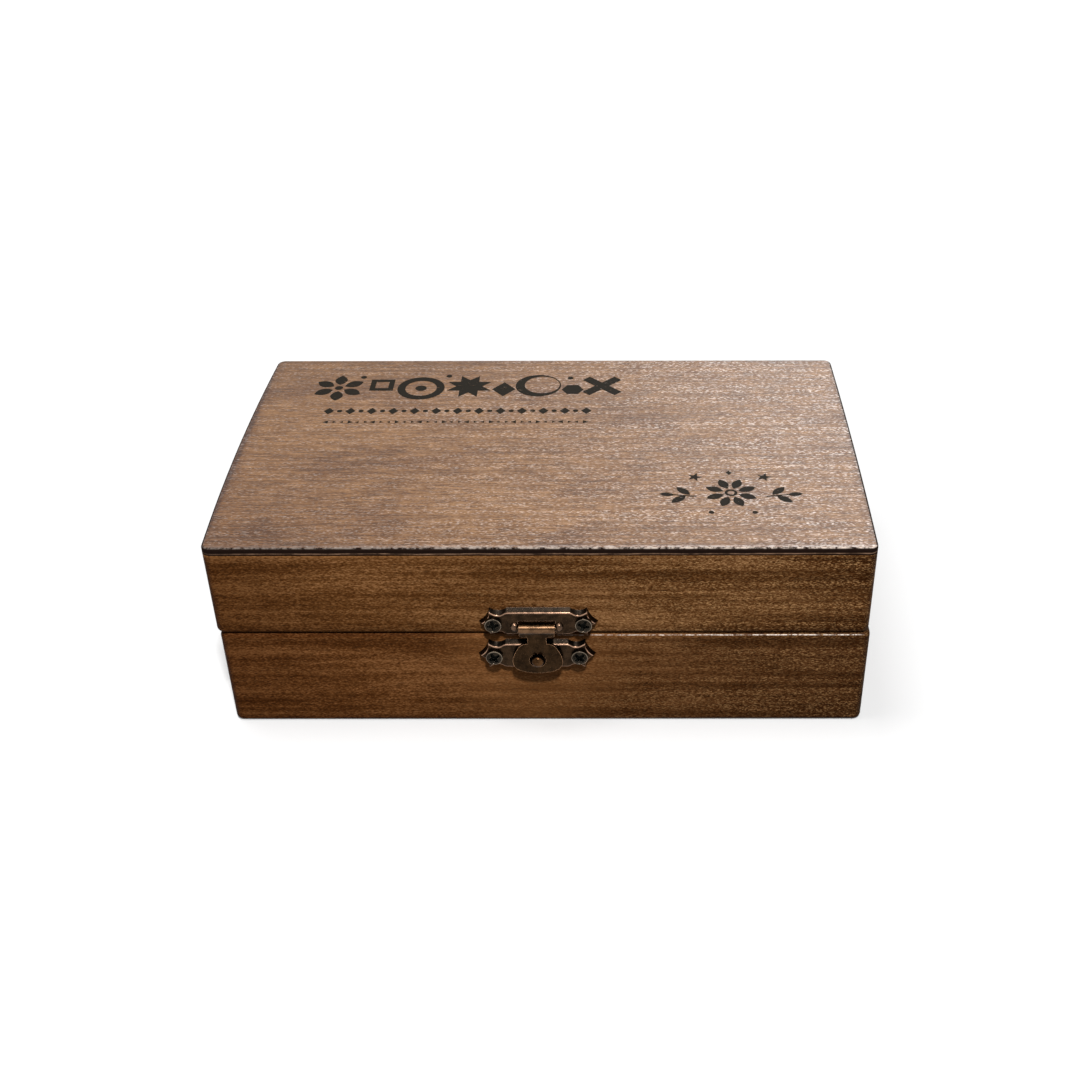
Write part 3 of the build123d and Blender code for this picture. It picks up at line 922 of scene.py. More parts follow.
def outwards(bm):
    bmesh.ops.remove_doubles(bm, verts=bm.verts, dist=1e-4)
    bmesh.ops.recalc_face_normals(bm, faces=bm.faces)


# Case

def makeCaseBlock(shift, low, high, lowRadius, highRadius):
    bm = bmesh.new()
    addBlock(bm, (shift, 0, (low + high) / 2), (caseSizes["length"], caseSizes["depth"], high - low))
    upright = [e for e in bm.edges if abs(e.verts[0].co.z - e.verts[1].co.z) > tiny]
    roundEdges(bm, upright, caseSizes["cornerRadius"], caseSizes["cornerSteps"])
    for level, radius in ((low, lowRadius), (high, highRadius)):
        if radius:
            roundEdges(bm, levelEdges(bm, level), radius, caseSizes["edgeSteps"])
    for step in range(1, caseSizes["crownCuts"]):
        cut(bm, (0, halfDepth * (2 * step / caseSizes["crownCuts"] - 1), 0), (0, 1, 0))
    for vert in bm.verts:
        across = vert.co.x - shift
        if abs(across) > innerLength + caseSizes["rebate"]:
            crown = caseSizes["rightCrown"] if across > 0 else caseSizes["leftCrown"]
            vert.co.x += math.copysign(crown * (1 - (vert.co.y / halfDepth) ** 2), across)
    return bm


def cutWell(bm, shift, level, halfX, halfY):
    # cuts round a well and gives its faces at one level
    for side in (-1, 1):
        cut(bm, (shift + side * halfX, 0, 0), (1, 0, 0))
        cut(bm, (0, side * halfY, 0), (0, 1, 0))
    return wellFaces(bm, shift, level, halfX, halfY)


def wellFaces(bm, shift, level, halfX, halfY):
    found = []
    for face in bm.faces:
        middle = face.calc_center_median()
        if abs(middle.z - level) < tiny and abs(middle.x - shift) < halfX and abs(middle.y) < halfY:
            found.append(face)
    return found


def hollow(bm, shift, low, high, rebate):
    # opens the block from its underside to its top, with a step for a panel where there is one
    if rebate:
        wide = caseSizes["rebate"]
        floorFaces = cutWell(bm, shift, low, innerLength + wide, innerDepth + wide)
        raised = bmesh.ops.extrude_face_region(bm, geom=floorFaces)["geom"]
        bmesh.ops.delete(bm, geom=floorFaces, context="FACES")
        move(bm, (0, 0, caseSizes["bottomPanel"]), onlyVerts(raised))
        low = low + caseSizes["bottomPanel"]
    gone = cutWell(bm, shift, low, innerLength, innerDepth)
    gone += wellFaces(bm, shift, high, innerLength, innerDepth)
    bmesh.ops.delete(bm, geom=gone, context="FACES")
    bmesh.ops.bridge_loops(bm, edges=[e for e in bm.edges if e.is_boundary])
    outwards(bm)


def cutBoard(block, side, shift):
    bm = block.copy()
    way = -1 if side in ("front", "left") else 1
    if side in ("front", "back"):
        cut(bm, (0, way * innerDepth, 0), (0, -way, 0), True)
    else:
        cut(bm, (0, -innerDepth, 0), (0, -1, 0), True)
        cut(bm, (0, innerDepth, 0), (0, 1, 0), True)
        gone = [f for f in bm.faces if way * (f.calc_center_median().x - shift) < innerLength - tiny]
        bmesh.ops.delete(bm, geom=gone, context="FACES")
    bmesh.ops.holes_fill(bm, edges=[e for e in bm.edges if e.is_boundary], sides=0)
    outwards(bm)
    return bm


def makeBoards(body, shift, low, high, highRadius, rebate):
    block = makeCaseBlock(shift, low, high, caseSizes["edgeRadius"], highRadius)
    hollow(block, shift, low, high, rebate)
    for side in ("front", "back", "left", "right"):
        grainAlong = "Long" if side in ("front", "back") else "Short"
        node = body + "_" + side + "_board"
        finishPiece(
            cutBoard(block, side, shift), node + "_wood", body, materials[body + grainAlong],
            node, caseSizes["boardSoften"], caseSizes["softenAngle"],
        )
    block.free()


lidShift = caseSizes["lidShift"]
makeBoards("base", 0, 0, caseSizes["baseTop"], caseSizes["edgeRadius"], True)
makeBoards("lid", lidShift, caseSizes["lidBottom"], caseSizes["lidCeiling"], 0, False)

lidFace = caseSizes["lidTop"] - caseSizes["printDepth"]
lidPanel = makeCaseBlock(lidShift, caseSizes["lidCeiling"], lidFace, 0, caseSizes["topEdgeRadius"])
outwards(lidPanel)
for face in lidPanel.faces:
    # the panel's face, its ply edge, and its underside
    if face.normal.z > caseSizes["flatFacing"]:
        face.material_index = 0
    elif face.normal.z > -caseSizes["flatFacing"]:
        face.material_index = 1
    else:
        face.material_index = 2
lidPanelPiece = finishPiece(
    lidPanel, "lid_top_panel_wood", "lid", materials["lidPanel"],
    "lid_top_panel", caseSizes["panelSoften"], caseSizes["softenAngle"],
)
lidPanelPiece.data.materials.append(materials["lidPanelEdge"])
lidPanelPiece.data.materials.append(materials["basePanel"])

rebateLength, rebateDepth = innerLength + caseSizes["rebate"], innerDepth + caseSizes["rebate"]
bottomSize = (2 * rebateLength, 2 * rebateDepth, caseSizes["bottomPanel"])
bottomPanel = bmesh.new()
addBlock(bottomPanel, (0, 0, caseSizes["bottomPanel"] / 2), bottomSize)
finishPiece(
    bottomPanel, "base_bottom_panel_wood", "base", materials["basePanel"],
    "base_bottom_panel", caseSizes["boardSoften"],
)
print("case ready")


# Hasp

haspSizes = {
    "halfLength": 13.6,
    "rise": 1.3,
    "sheet": 0.5,
    "flare": 0.8,
    "tipFlare": 0.7,
    "barHalf": 7.1,
    "cornerHalf": 11.1,
    "scallop": 0.8,
    "endHollow": 0.45,
    "plates": {"upper": (-1.3, 30.1, 3.75), "lower": (-1.9, 20.8, 4.0)},  # x, height and half height
    "arcSteps": 8,
    # how far in and how far up each line of the slope lies
    "ridgeShares": ((0.82, 0.82), (0.95, 0.91), (1.10, 0.968), (1.28, 0.993), (1.46, 1.0)),
    # how far along the scallop and how deep each point of the ridge's dip lies
    "dipShares": (
        (0.13, 0.22), (0.25, 0.66), (0.37, 0.93), (0.50, 1.0), (0.63, 0.92), (0.76, 0.64), (0.89, 0.22),
        (1.0, -0.1),
    ),
    "soften": 0.08,
    "softenAngle": 35.0,
}
tongueSizes = {
    "x": -1.7,
    "axisHeight": 28.9,
    "axisOut": 1.6,
    "sheet": 0.65,
    "knuckleRadius": 1.3,
    "rollDegrees": 300,
    "rollSteps": 26,
    "halfWidth": 4.05,
    "windowHalf": 4.3,
    "windowTop": 30.86,
    "sheetOut": 1.0,
    "shoulderDrop": 1.72,
    "shoulderRadius": 0.5,
    "shoulderSteps": 4,
    "neckHalf": 2.15,
    "neckDrop": 3.65,
    "neckChamfer": 0.25,
    "headHalf": 5.8,
    # half width and drop of the points that the head's arcs go through, from the neck down
    "headShares": ((0.58, 0.03), (0.74, 0.12), (0.90, 0.33), (1.00, 0.56), (0.90, 0.81), (0.60, 0.94)),
    "headSteps": 6,
    "footSteps": 12,
    "drop": 12.2,
    "holeRadius": 1.9,
    "holeSteps": 48,
    "studHeight": 20.45,
    "soften": 0.14,
}


def plateOutline(halfHeight, inset, endInset):
    sizes = haspSizes
    bar, corner, hollowed = sizes["barHalf"], sizes["cornerHalf"], sizes["endHollow"]
    top = halfHeight - inset
    tip = sizes["halfLength"] - endInset
    chord = math.hypot(tip - corner, top)
    endMiddle = ((corner + tip) / 2 - hollowed * top / chord, top / 2 - hollowed * (tip - corner) / chord)
    quarter = [(0, top), (bar, top)]
    if inset:
        # the ridge dips softly under the scallop
        quarter += [(bar + (corner - bar) * x, top - sizes["scallop"] * dip) for x, dip in sizes["dipShares"]]
    else:
        lowest = ((bar + corner) / 2, top - sizes["scallop"])
        quarter += arcThrough((bar, top), lowest, (corner, top), sizes["arcSteps"])
    quarter += arcThrough(quarter[-1], endMiddle, (tip, 0), sizes["arcSteps"])
    right = quarter + [(x, -y) for x, y in reversed(quarter[:-1])]
    return right + [(-x, y) for x, y in reversed(right[1:-1])]


def makePlate(level):
    sizes = haspSizes
    x, z, halfHeight = sizes["plates"][level]
    bm = bmesh.new()
    face, before = addLoop(bm, plateOutline(halfHeight, 0, 0))
    for inward, upward in sizes["ridgeShares"]:
        outline = plateOutline(halfHeight, sizes["flare"] * inward, sizes["tipFlare"] * inward)
        face, edges = addLoop(bm, outline, sizes["rise"] * upward)
        bmesh.ops.bridge_loops(bm, edges=before + edges)
        before = edges
    bm.faces.new(face)
    bmesh.ops.recalc_face_normals(bm, faces=bm.faces)
    move(bm, (x, z, 0))
    return bm


def cutWindow(bm):
    # opens the upper plate below its top rim for the tongue
    sizes = tongueSizes
    for side in (-1, 1):
        cut(bm, (sizes["x"] + side * sizes["windowHalf"], 0, 0), (1, 0, 0))
    cut(bm, (0, sizes["windowTop"], 0), (0, 1, 0))
    gone = []
    for face in bm.faces:
        middle = face.calc_center_median()
        if abs(middle.x - sizes["x"]) < sizes["windowHalf"] and middle.y < sizes["windowTop"]:
            gone.append(face)
    bmesh.ops.delete(bm, geom=gone, context="FACES")


earSizes = {"beside": 0.8, "above": 0.3, "behind": 0.45, "stretch": (1.02, 1.22, 1.12), "steps": (24, 14)}


def makeEars():
    # the bulges over the pin's ends, open at the back
    bm = bmesh.new()
    around, down = earSizes["steps"]
    for side in (-1, 1):
        middle = tongueSizes["x"] + side * (tongueSizes["windowHalf"] + earSizes["beside"])
        height = tongueSizes["axisHeight"] + earSizes["above"]
        made = bmesh.ops.create_uvsphere(bm, u_segments=around, v_segments=down, radius=1.0)["verts"]
        bmesh.ops.scale(bm, vec=earSizes["stretch"], verts=made)
        move(bm, (middle, height, tongueSizes["axisOut"] - earSizes["behind"]), made)
        below = [v for v in made if v.co.z < haspSizes["rise"] - haspSizes["sheet"] / 2]
        bmesh.ops.delete(bm, geom=below, context="VERTS")
    standOnFront(bm)
    return bm


for level, body in (("upper", "lid"), ("lower", "base")):
    plate = makePlate(level)
    if level == "upper":
        cutWindow(plate)
    standOnFront(plate)
    node = "hasp_" + level + "_plate"
    finishPiece(
        plate, node + "_bronze", body, materials["plates"],
        node, haspSizes["soften"], haspSizes["softenAngle"], haspSizes["sheet"],
    )
    if level == "upper":
        finishPiece(makeEars(), "hasp_upper_plate_ears", "lid", materials["ears"])

# where the flat sheet meets the knuckle's round
kneeDrop = math.sqrt(tongueSizes["knuckleRadius"] ** 2 - tongueSizes["sheetOut"] ** 2)


def tongueOutline():
    # right half from the top of the shoulders down to the foot
    sizes = tongueSizes
    half, corner = sizes["halfWidth"], sizes["shoulderRadius"]
    neckHalf, chamfer = sizes["neckHalf"], sizes["neckChamfer"]
    shoulder, neck, foot = -sizes["shoulderDrop"], -sizes["neckDrop"], -sizes["drop"]
    slant = corner * (1 - math.sqrt(0.5))
    points = [(half, -kneeDrop), (half, shoulder + corner)]
    points += arcThrough(
        points[-1], (half - slant, shoulder + slant), (half - corner, shoulder), sizes["shoulderSteps"]
    )
    points += [(neckHalf + chamfer, shoulder), (neckHalf, shoulder - chamfer), (neckHalf, neck)]
    head = [points[-1]]
    head += [(sizes["headHalf"] * x, neck + (foot - neck) * y) for x, y in sizes["headShares"]]
    for start in range(0, len(head) - 2, 2):
        points += arcThrough(head[start], head[start + 1], head[start + 2], sizes["headSteps"])
    lastX, lastY = head[-1]
    bottom = arcThrough((lastX, lastY), (0, foot), (-lastX, lastY), sizes["footSteps"])
    return points + bottom[:sizes["footSteps"] // 2]


def makeTongue():
    sizes = tongueSizes
    bm = bmesh.new()
    right = tongueOutline()
    outerEdges = addLoop(bm, right + [(-x, y) for x, y in reversed(right[:-1])])[1]
    stud = Vector((0, sizes["studHeight"] - sizes["axisHeight"], 0))
    hole = bmesh.ops.create_circle(bm, radius=sizes["holeRadius"], segments=sizes["holeSteps"])["verts"]
    move(bm, stud, hole)
    holeEdges = list({e for v in hole for e in v.link_edges})
    bmesh.ops.triangle_fill(bm, use_beauty=True, use_dissolve=False, edges=outerEdges + holeEdges)
    inHole = [f for f in bm.faces if (f.calc_center_median() - stud).length < sizes["holeRadius"] * 0.9]
    bmesh.ops.delete(bm, geom=inHole, context="FACES_ONLY")
    bmesh.ops.recalc_face_normals(bm, faces=bm.faces)
    raised = bmesh.ops.extrude_face_region(bm, geom=bm.faces[:])["geom"]
    move(bm, (0, 0, sizes["sheet"]), onlyVerts(raised))
    bmesh.ops.recalc_face_normals(bm, faces=bm.faces)

    # the top edge is turned to point at the pin, then rolled round it
    back = sizes["sheetOut"] - sizes["sheet"]
    inner = 1 - sizes["sheet"] / sizes["knuckleRadius"]
    move(bm, (0, 0, back))
    edgeFace = [f for f in bm.faces if all(abs(v.co.y + kneeDrop) < tiny for v in f.verts)]
    for vert in {v for f in edgeFace for v in f.verts}:
        if vert.co.z < back + tiny:
            vert.co.y, vert.co.z = -kneeDrop * inner, sizes["sheetOut"] * inner
    roll = -math.radians(sizes["rollDegrees"])
    bmesh.ops.spin(bm, geom=edgeFace, cent=(0, 0, 0), axis=(1, 0, 0), angle=roll, steps=sizes["rollSteps"])
    bmesh.ops.delete(bm, geom=edgeFace, context="FACES_ONLY")
    standOnFront(bm, (sizes["x"], sizes["axisHeight"], sizes["axisOut"]))
    outwards(bm)
    return bm


finishPiece(
    makeTongue(), "hasp_tongue_bronze", "tongue", materials["tongue"],
    "hasp_tongue", tongueSizes["soften"],
)

pinSizes = {"radius": 0.6, "overhang": 1.2, "soft": 0.15, "softSteps": 3, "steps": 32}


def makePin():
    # along x, its ends rounded
    bm = bmesh.new()
    radius, length = pinSizes["radius"], 2 * (tongueSizes["windowHalf"] + pinSizes["overhang"])
    bmesh.ops.create_cone(
        bm, cap_ends=True, segments=pinSizes["steps"], radius1=radius, radius2=radius, depth=length
    )
    rims = levelEdges(bm, length / 2) + levelEdges(bm, -length / 2)
    roundEdges(bm, rims, pinSizes["soft"], pinSizes["softSteps"])
    bmesh.ops.rotate(bm, cent=(0, 0, 0), matrix=Matrix.Rotation(quarterTurn, 3, "Y"), verts=bm.verts)
    standOnFront(bm, (tongueSizes["x"], tongueSizes["axisHeight"], tongueSizes["axisOut"]))
    return bm


finishPiece(
    makePin(), "hasp_tongue_pin_bronze", "lid", materials["bronze"], "hasp_tongue_pin"
)

studSizes = {
    # radius and height, from the shank up to the middle of the dome
    "profile": (
        (1.4, 1.3), (1.4, 3.2), (1.36, 3.4), (1.23, 3.6), (1.0, 3.76), (0.7, 3.86), (0.35, 3.895), (0.0, 3.9),
    ),
    "steps": 40,
}


def makeStud():
    bm = bmesh.new()
    verts = [bm.verts.new((radius, 0, height)) for radius, height in studSizes["profile"]]
    edges = [bm.edges.new(pair) for pair in zip(verts, verts[1:])]
    bmesh.ops.spin(
        bm, geom=verts + edges, cent=(0, 0, 0), axis=(0, 0, 1), angle=2 * math.pi,
        steps=studSizes["steps"], use_merge=True,
    )
    outwards(bm)
    standOnFront(bm, (tongueSizes["x"], tongueSizes["studHeight"], 0))
    return bm


finishPiece(makeStud(), "hasp_stud_brass", "base", materials["stud"], "hasp_stud")
print("hasp ready")


# Screws

screwSizes = {
    "radius": 1.95,
    "topRadius": 1.6,
    "topHeight": 0.79,
    "dome": 0.24,
    # share of the radius and height, from the top over the rim down to the plate
    "rim": ((0.85, 0.886), (0.90, 0.95), (0.97, 0.886), (1.0, 0.822), (1.0, 0.0)),
    # the ring of the rim that takes the painted highlight
    "highlightStep": 4,
    "topShares": (0.55, 1.0),
    "armHalf": 0.34,
    "armReach": 1.36,
    "armCorner": 1.45,
    "armSteps": 4,
    "recessHeight": 0.33,
    "recessTaper": 0.72,
    "spacing": {"upper": 20.6, "lower": 19.7},
    "turns": {"upper": (12.0, -20.0), "lower": (30.0, 45.0)},
    "soften": 0.05,
}


def crossLoop():
    # the outline of the cross recess
    armHalf, reach = screwSizes["armHalf"], screwSizes["armReach"]
    inner = armHalf * screwSizes["armCorner"]
    corners = []
    for quarter in range(4):
        turn = Matrix.Rotation(quarter * quarterTurn, 2)
        corners += [turn @ Vector(point) for point in ((reach, -armHalf), (reach, armHalf), (inner, inner))]
    steps = screwSizes["armSteps"]
    points = []
    for corner, following in zip(corners, corners[1:] + corners[:1]):
        points += [tuple(corner.lerp(following, step / steps)) for step in range(steps)]
    return points


def makeScrewHead(turn):
    # the top from the cross out to the rim, the side down to the plate, and the recess
    sizes = screwSizes
    bm = bmesh.new()
    cross = crossLoop()
    first, step = math.atan2(cross[0][1], cross[0][0]), 2 * math.pi / len(cross)
    around = [Matrix.Rotation(first + step * k, 2) @ Vector((1, 0)) for k in range(len(cross))]
    rings = [addLoop(bm, cross)]
    for share in sizes["topShares"]:
        between = [Vector(point).lerp(way * sizes["topRadius"], share) for point, way in zip(cross, around)]
        rings.append(addLoop(bm, between))
    for vert in bm.verts:
        outward = vert.co.xy.length / sizes["topRadius"]
        vert.co.z = sizes["topHeight"] + sizes["dome"] * (1 - outward * outward)
    for share, height in sizes["rim"]:
        rings.append(addLoop(bm, [way * sizes["radius"] * share for way in around], height))
    for step, ((_, before), (_, after)) in enumerate(zip(rings, rings[1:])):
        for face in bmesh.ops.bridge_loops(bm, edges=before + after)["faces"]:
            face.material_index = 2 if step == sizes["highlightStep"] else 0
    deep = [Vector(point) * sizes["recessTaper"] for point in cross]
    floor, floorEdges = addLoop(bm, deep, sizes["recessHeight"])
    recess = bmesh.ops.bridge_loops(bm, edges=rings[0][1] + floorEdges)["faces"]
    recess.append(bm.faces.new(floor))
    for face in recess:
        face.material_index = 1
    bmesh.ops.recalc_face_normals(bm, faces=bm.faces)
    turnFlat(bm, turn)
    return bm


def joinInto(target, part):
    mesh = bpy.data.meshes.new("part")
    part.to_mesh(mesh)
    part.free()
    target.from_mesh(mesh)
    bpy.data.meshes.remove(mesh)


for level, body in (("upper", "lid"), ("lower", "base")):
    x, z, halfHeight = haspSizes["plates"][level]
    pair = bmesh.new()
    for side, turn in zip((-1, 1), screwSizes["turns"][level]):
        head = makeScrewHead(turn)
        move(head, (x + side * screwSizes["spacing"][level] / 2, z, haspSizes["rise"]))
        joinInto(pair, head)
    standOnFront(pair)
    node = "hasp_" + level + "_screws"
    heads = finishPiece(
        pair, "hasp_" + level + "_screw_heads", body, materials["screws"],
        node, screwSizes["soften"],
    )
    heads.data.materials.append(materials["recess"])
    heads.data.materials.append(materials["rims"])
print("screws ready")


# Hinges keep their true shape with softened edges

hingeSizes = {
    # each part's body and how far its edges are softened
    "parts": {"lower_leaf": ("base", 0.12), "upper_leaf": ("lid", 0.12), "pin": ("base", 0.15)},
    "screws": {"lower": ("base", 0.04), "upper": ("lid", 0.04)},
    "softenAngle": 38.0,
    "mergeDistance": 1e-6,
    "flatAngle": 1.0,
}


def softenedNode(node, body, material, soften):
    bm = bmesh.new()
    bm.from_mesh(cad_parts[node].data)
    bmesh.ops.remove_doubles(bm, verts=bm.verts, dist=hingeSizes["mergeDistance"])
    bmesh.ops.dissolve_limit(
        bm, angle_limit=math.radians(hingeSizes["flatAngle"]), verts=bm.verts, edges=bm.edges
    )
    bmesh.ops.scale(bm, vec=(1 / millimetre,) * 3, verts=bm.verts)
    finishPiece(bm, node + "_soft", body, material, node, soften, hingeSizes["softenAngle"])


for side in ("left", "right"):
    for part, (body, soften) in hingeSizes["parts"].items():
        softenedNode("hinge_" + side + "_" + part, body, materials["bronze"], soften)
for level, (body, soften) in hingeSizes["screws"].items():
    softenedNode("hinge_" + level + "_screws", body, materials["screws"], soften)
print("hinges ready")


# Stamps

stampSizes = {
    "width": 12.0,
    "depth": 9.0,
    "bottom": 5.0,
    "top": 43.0,
    "columns": 10,
    "rows": 7,
    "soften": 0.4,
    "softSteps": 2,
}


def makeStampRow(row):
    sizes = stampSizes
    pitchX, pitchY = stampLook["pitch"][:2]
    y = (row - (sizes["rows"] - 1) / 2) * pitchY
    middle, height = (sizes["top"] + sizes["bottom"]) / 2, sizes["top"] - sizes["bottom"]
    bm = bmesh.new()
    for column in range(sizes["columns"]):
        x = (column - (sizes["columns"] - 1) / 2) * pitchX
        addBlock(bm, (x, y, middle), (sizes["width"], sizes["depth"], height))
    lower = levelEdges(bm, sizes["bottom"])
    roundEdges(bm, [e for e in bm.edges if e not in lower], sizes["soften"], sizes["softSteps"])
    return bm


for row in range(stampSizes["rows"]):
    name = "stamp_blocks_row_" + str(row + 1)
    finishPiece(makeStampRow(row), name + "_wood", "base", materials["stamps"], name)
    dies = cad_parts["stamp_dies_row_" + str(row + 1)]
    dies.data.materials.clear()
    dies.data.materials.append(materials["rubber"])
print("stamps ready")


# Print on the lid: plain ornaments
# Each shape is made flat at the origin and gives its vertices.

def ring(bm, outer, inner, corners, offset=0.0):
    outerVerts = bmesh.ops.create_circle(bm, radius=outer, segments=corners)["verts"]
    innerVerts = bmesh.ops.create_circle(bm, radius=inner, segments=corners)["verts"]
    move(bm, (offset, 0, 0), innerVerts)
    edges = list({e for v in outerVerts + innerVerts for e in v.link_edges})
    bmesh.ops.bridge_loops(bm, edges=edges)
    return outerVerts + innerVerts


def disc(bm, radius, corners=24, width=1.0):
    verts = bmesh.ops.create_circle(bm, cap_ends=True, radius=radius, segments=corners)["verts"]
    bmesh.ops.scale(bm, vec=(width, 1, 1), verts=verts)
    return verts


def lozenge(bm, radius):
    return disc(bm, radius, corners=4, width=0.8)


def star(bm, radius, points, waist):
    verts = bmesh.ops.create_circle(bm, cap_ends=True, radius=radius, segments=2 * points)["verts"]
    for vert in verts[::2]:
        vert.co *= waist
    return verts


def bar(bm, length, width):
    verts = bmesh.ops.create_grid(bm, x_segments=1, y_segments=1, size=0.5)["verts"]
    bmesh.ops.scale(bm, vec=(length, width, 1), verts=verts)
    return verts


def leaf(bm, length, width, corners=20, belly=0.5, tip=0.02):
    # from its stalk along x
    verts = bmesh.ops.create_circle(bm, cap_ends=True, radius=1, segments=corners)["verts"]
    for vert in verts:
        vert.co.y *= max(0.0, 1 - vert.co.x ** 2) ** 0.5 * belly + tip
    bmesh.ops.scale(bm, vec=(length / 2, width, 1), verts=verts)
    move(bm, (length / 2, 0, 0), verts)
    return verts


def petals(bm, count, inner, length, width):
    flower = []
    for k in range(count):
        verts = leaf(bm, length, width)
        move(bm, (inner, 0, 0), verts)
        turnFlat(bm, 360 * k / count, verts)
        flower += verts
    return flower


def cross(bm, reach, width):
    # one outline, so that its arms don't overlap
    half = width / 2
    verts = bmesh.ops.create_circle(bm, cap_ends=True, radius=1, segments=12)["verts"]
    for k, vert in enumerate(verts):
        x, y = ((reach, -half), (reach, half), (half, half))[k % 3]
        vert.co = Matrix.Rotation(k // 3 * quarterTurn, 3, "Z") @ Vector((x, y, 0))
    return verts


printPlan = {
    "height": caseSizes["lidTop"] - 0.006,
    # shape, its sizes, x, height over the band's middle, and turn
    "bandMiddle": 30.0,
    "band": (
        (petals, (6, 1.7, 5.2, 3.2), -56.6, -0.6, 30),
        (disc, (1.1,), -56.6, -0.6, 0),
        (ring, (4.4, 2.4, 4), -45.4, 1.0, 45),
        (ring, (6.2, 4.1, 40), -35.0, -0.8, 0),
        (disc, (1.5,), -35.0, -0.8, 0),
        (star, (6.3, 8, 0.55), -22.4, 0.3, 0),
        (lozenge, (3.9,), -13.2, -1.4, 0),
        (ring, (6.0, 4.6, 40, 1.1), -4.2, 0.6, 20),
        (disc, (2.9, 6), 4.9, -1.6, 30),
        (cross, (6.0, 2.7), 12.6, 0.4, 45),
        (disc, (0.8,), -50.9, 5.4, 0),
        (disc, (0.8,), -28.2, 6.0, 0),
        (disc, (0.8,), 4.2, 4.8, 0),
    ),
    "flowerPlace": (43.2, -22.6),
    "flower": (
        (petals, (8, 1.9, 4.4, 2.3), 0, 0, 22.5),
        (ring, (1.5, 0.8, 24), 0, 0, 0),
        (lozenge, (0.95,), 0, 8.9, 0),
    ),
    # the sprig to the right of the flower, and once more mirrored to its left
    "sprig": (
        (bar, (5.4, 0.45), 10.8, -1.2, 8),
        (leaf, (4.6, 2.0), 9.6, -0.9, 48),
        (leaf, (4.6, 2.0), 10.6, -1.2, -42),
        (leaf, (3.6, 1.7), 13.2, -0.9, 8),
        (star, (1.9, 5, 0.42), 8.2, 7.0, 18),
        (disc, (0.65,), 5.0, -8.4, 0),
    ),
    # rows of motifs that come in turn
    "rows": (
        {
            "left": -57.2, "right": 8.7, "middle": 16.9, "count": 25,
            "motifs": ((lozenge, (1.6875,), 0), (disc, (0.6875,), 0)),
        },
        {
            "left": -57.0, "right": 8.4, "middle": 11.2, "count": 34,
            "motifs": (
                (disc, (0.92, 3), 90), (disc, (0.64, 3), 270), (disc, (0.64, 3), 90),
                (disc, (0.92, 3), 270), (disc, (0.64, 3), 90), (disc, (0.64, 3), 270),
            ),
        },
    ),
}


def draw(bm, motifs, x, y, side=1):
    for shape, sizes, across, up, turn in motifs:
        verts = shape(bm, *sizes)
        turnFlat(bm, turn if side == 1 else 180 - turn, verts)
        move(bm, (x + side * across, y + up, 0), verts)


def drawRow(bm, row):
    step = (row["right"] - row["left"]) / (row["count"] - 1)
    for k in range(row["count"]):
        shape, sizes, turn = row["motifs"][k % len(row["motifs"])]
        draw(bm, ((shape, sizes, k * step, 0, turn),), row["left"], row["middle"])


lidPrint = bmesh.new()
draw(lidPrint, printPlan["band"], 0, printPlan["bandMiddle"])
draw(lidPrint, printPlan["flower"], *printPlan["flowerPlace"])
for side in (-1, 1):
    draw(lidPrint, printPlan["sprig"], *printPlan["flowerPlace"], side)
for row in printPlan["rows"]:
    drawRow(lidPrint, row)
move(lidPrint, (0, 0, printPlan["height"]))
for face in lidPrint.faces:
    face.normal_update()
    if face.normal.z < 0:
        face.normal_flip()
finishPiece(lidPrint, "lid_print", "lid", materials["ink"])
print("print ready")


# Studio

studio = {
    "lens": 47.76,
    "sensor": 36,
    "clipStart": 0.01,
    "shift": (-0.07133, 0.02262),
    "azimuth": 0.16074,
    "elevation": 34.992,
    "roll": -0.15874,
    "target": (0.0165019, 0.0, 0.0137954),
    "distance": 0.3735565,
    "lampTarget": (0, 0, 0.025),
    "lamps": (
        # name, place, size, power, lights matt surfaces
        ("keyLamp", (0.125, -0.625, 1.13), (0.10, 0.10), 18.2, True),
        ("topLamp", (-0.22, 0.04, 1.10), (0.35, 0.35), 5.0, True),
        ("sheenLamp", (0.46, 1.15, 0.68), (0.80, 0.50), 8.0, False),
    ),
    "ambient": 0.17,
    "floorSize": 3.0,
    "floorTone": 0.60,
    "floorBounce": 0.18,
    # near and far in millimetres, and the light that the floor shows there
    "floorLift": ((0.0, 85.0, 0.16, 0.16), (85.0, 300.0, 0.0, 0.39), (300.0, 1000.0, 0.0, 0.55)),
}


def addToScene(name, data):
    made = bpy.data.objects.new(name, data)
    bpy.context.scene.collection.objects.link(made)
    return made


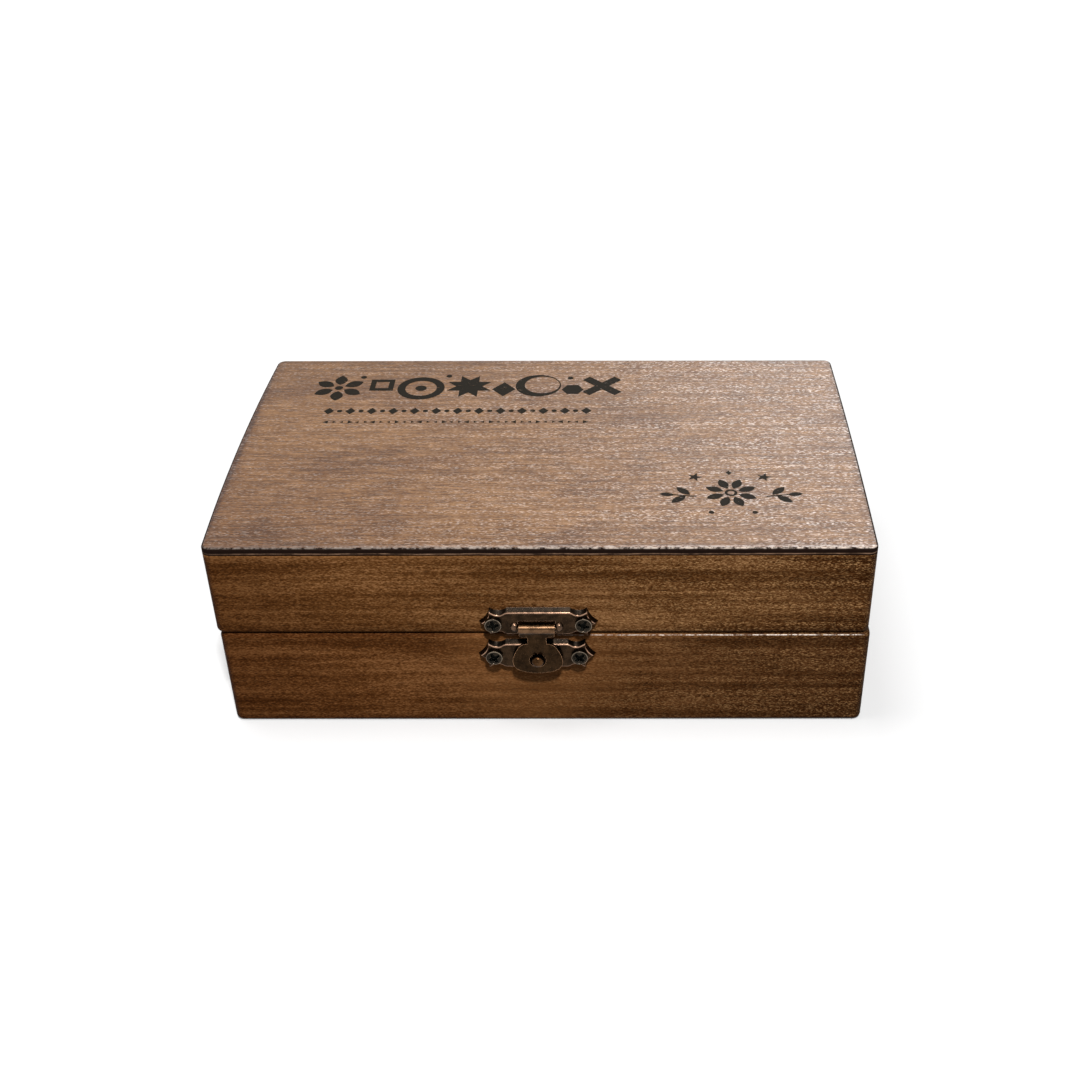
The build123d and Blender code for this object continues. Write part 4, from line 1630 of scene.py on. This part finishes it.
def makeCamera():
    azimuth, elevation, roll = (math.radians(studio[angle]) for angle in ("azimuth", "elevation", "roll"))
    aim = Matrix.Rotation(azimuth, 4, "Z") @ Matrix.Rotation(quarterTurn - elevation, 4, "X")
    back = Matrix.Rotation(roll, 4, "Z") @ Matrix.Translation((0, 0, studio["distance"]))
    data = bpy.data.cameras.new("photoCamera")
    data.lens = studio["lens"]
    data.sensor_width = studio["sensor"]
    data.shift_x, data.shift_y = studio["shift"]
    data.clip_start = studio["clipStart"]
    camera = addToScene("photoCamera", data)
    camera.matrix_world = Matrix.Translation(studio["target"]) @ aim @ back
    bpy.context.scene.camera = camera


def makeLamps():
    for name, place, size, power, lightsMatt in studio["lamps"]:
        data = bpy.data.lights.new(name, "AREA")
        data.shape = "RECTANGLE"
        data.size, data.size_y = size
        data.energy = power
        lamp = addToScene(name, data)
        lamp.location = place
        toBox = Vector(studio["lampTarget"]) - Vector(place)
        lamp.rotation_euler = toBox.to_track_quat("-Z", "Y").to_euler()
        lamp.visible_diffuse = lightsMatt


def seenDirectly(tree):
    # camera, glossy and transmission rays
    path = addNode(tree, "ShaderNodeLightPath").outputs
    mirrored = calc("MAXIMUM", path["Is Glossy Ray"], path["Is Transmission Ray"])
    return calc("MAXIMUM", path["Is Camera Ray"], mirrored)


def makeWorld():
    world = bpy.data.worlds.new("studioWorld")
    bpy.context.scene.world = world
    world.use_nodes = True
    strength = remap(seenDirectly(world.node_tree), 0.0, 1.0, studio["ambient"], 1.0)
    feed(world.node_tree.nodes["Background"], {"Color": (1, 1, 1, 1), "Strength": strength})


def makeFloor():
    bm = bmesh.new()
    bmesh.ops.create_grid(bm, x_segments=1, y_segments=1, size=studio["floorSize"])
    mesh = bpy.data.meshes.new("studioFloor")
    bm.to_mesh(mesh)
    bm.free()
    made, shader, vector = newMaterial("paleFloor")
    seen = seenDirectly(made.node_tree)
    away = vectorCalc("LENGTH", vector)
    glow = 0.0
    for near, far, less, more in studio["floorLift"]:
        glow = plus(glow, remap(away, near, far, less, more))
    feed(shader, {
        "Base Color": remap(seen, 0.0, 1.0, studio["floorBounce"], studio["floorTone"]),
        "Roughness": 1.0,
        "Specular IOR Level": 0.0,
        "Emission Color": (1, 1, 1, 1),
        "Emission Strength": times(seen, glow),
    })
    mesh.materials.append(made)
    addToScene("studioFloor", mesh)


makeCamera()
makeLamps()
makeWorld()
makeFloor()
bpy.context.scene.view_settings.view_transform = "Standard"
print("studio ready")
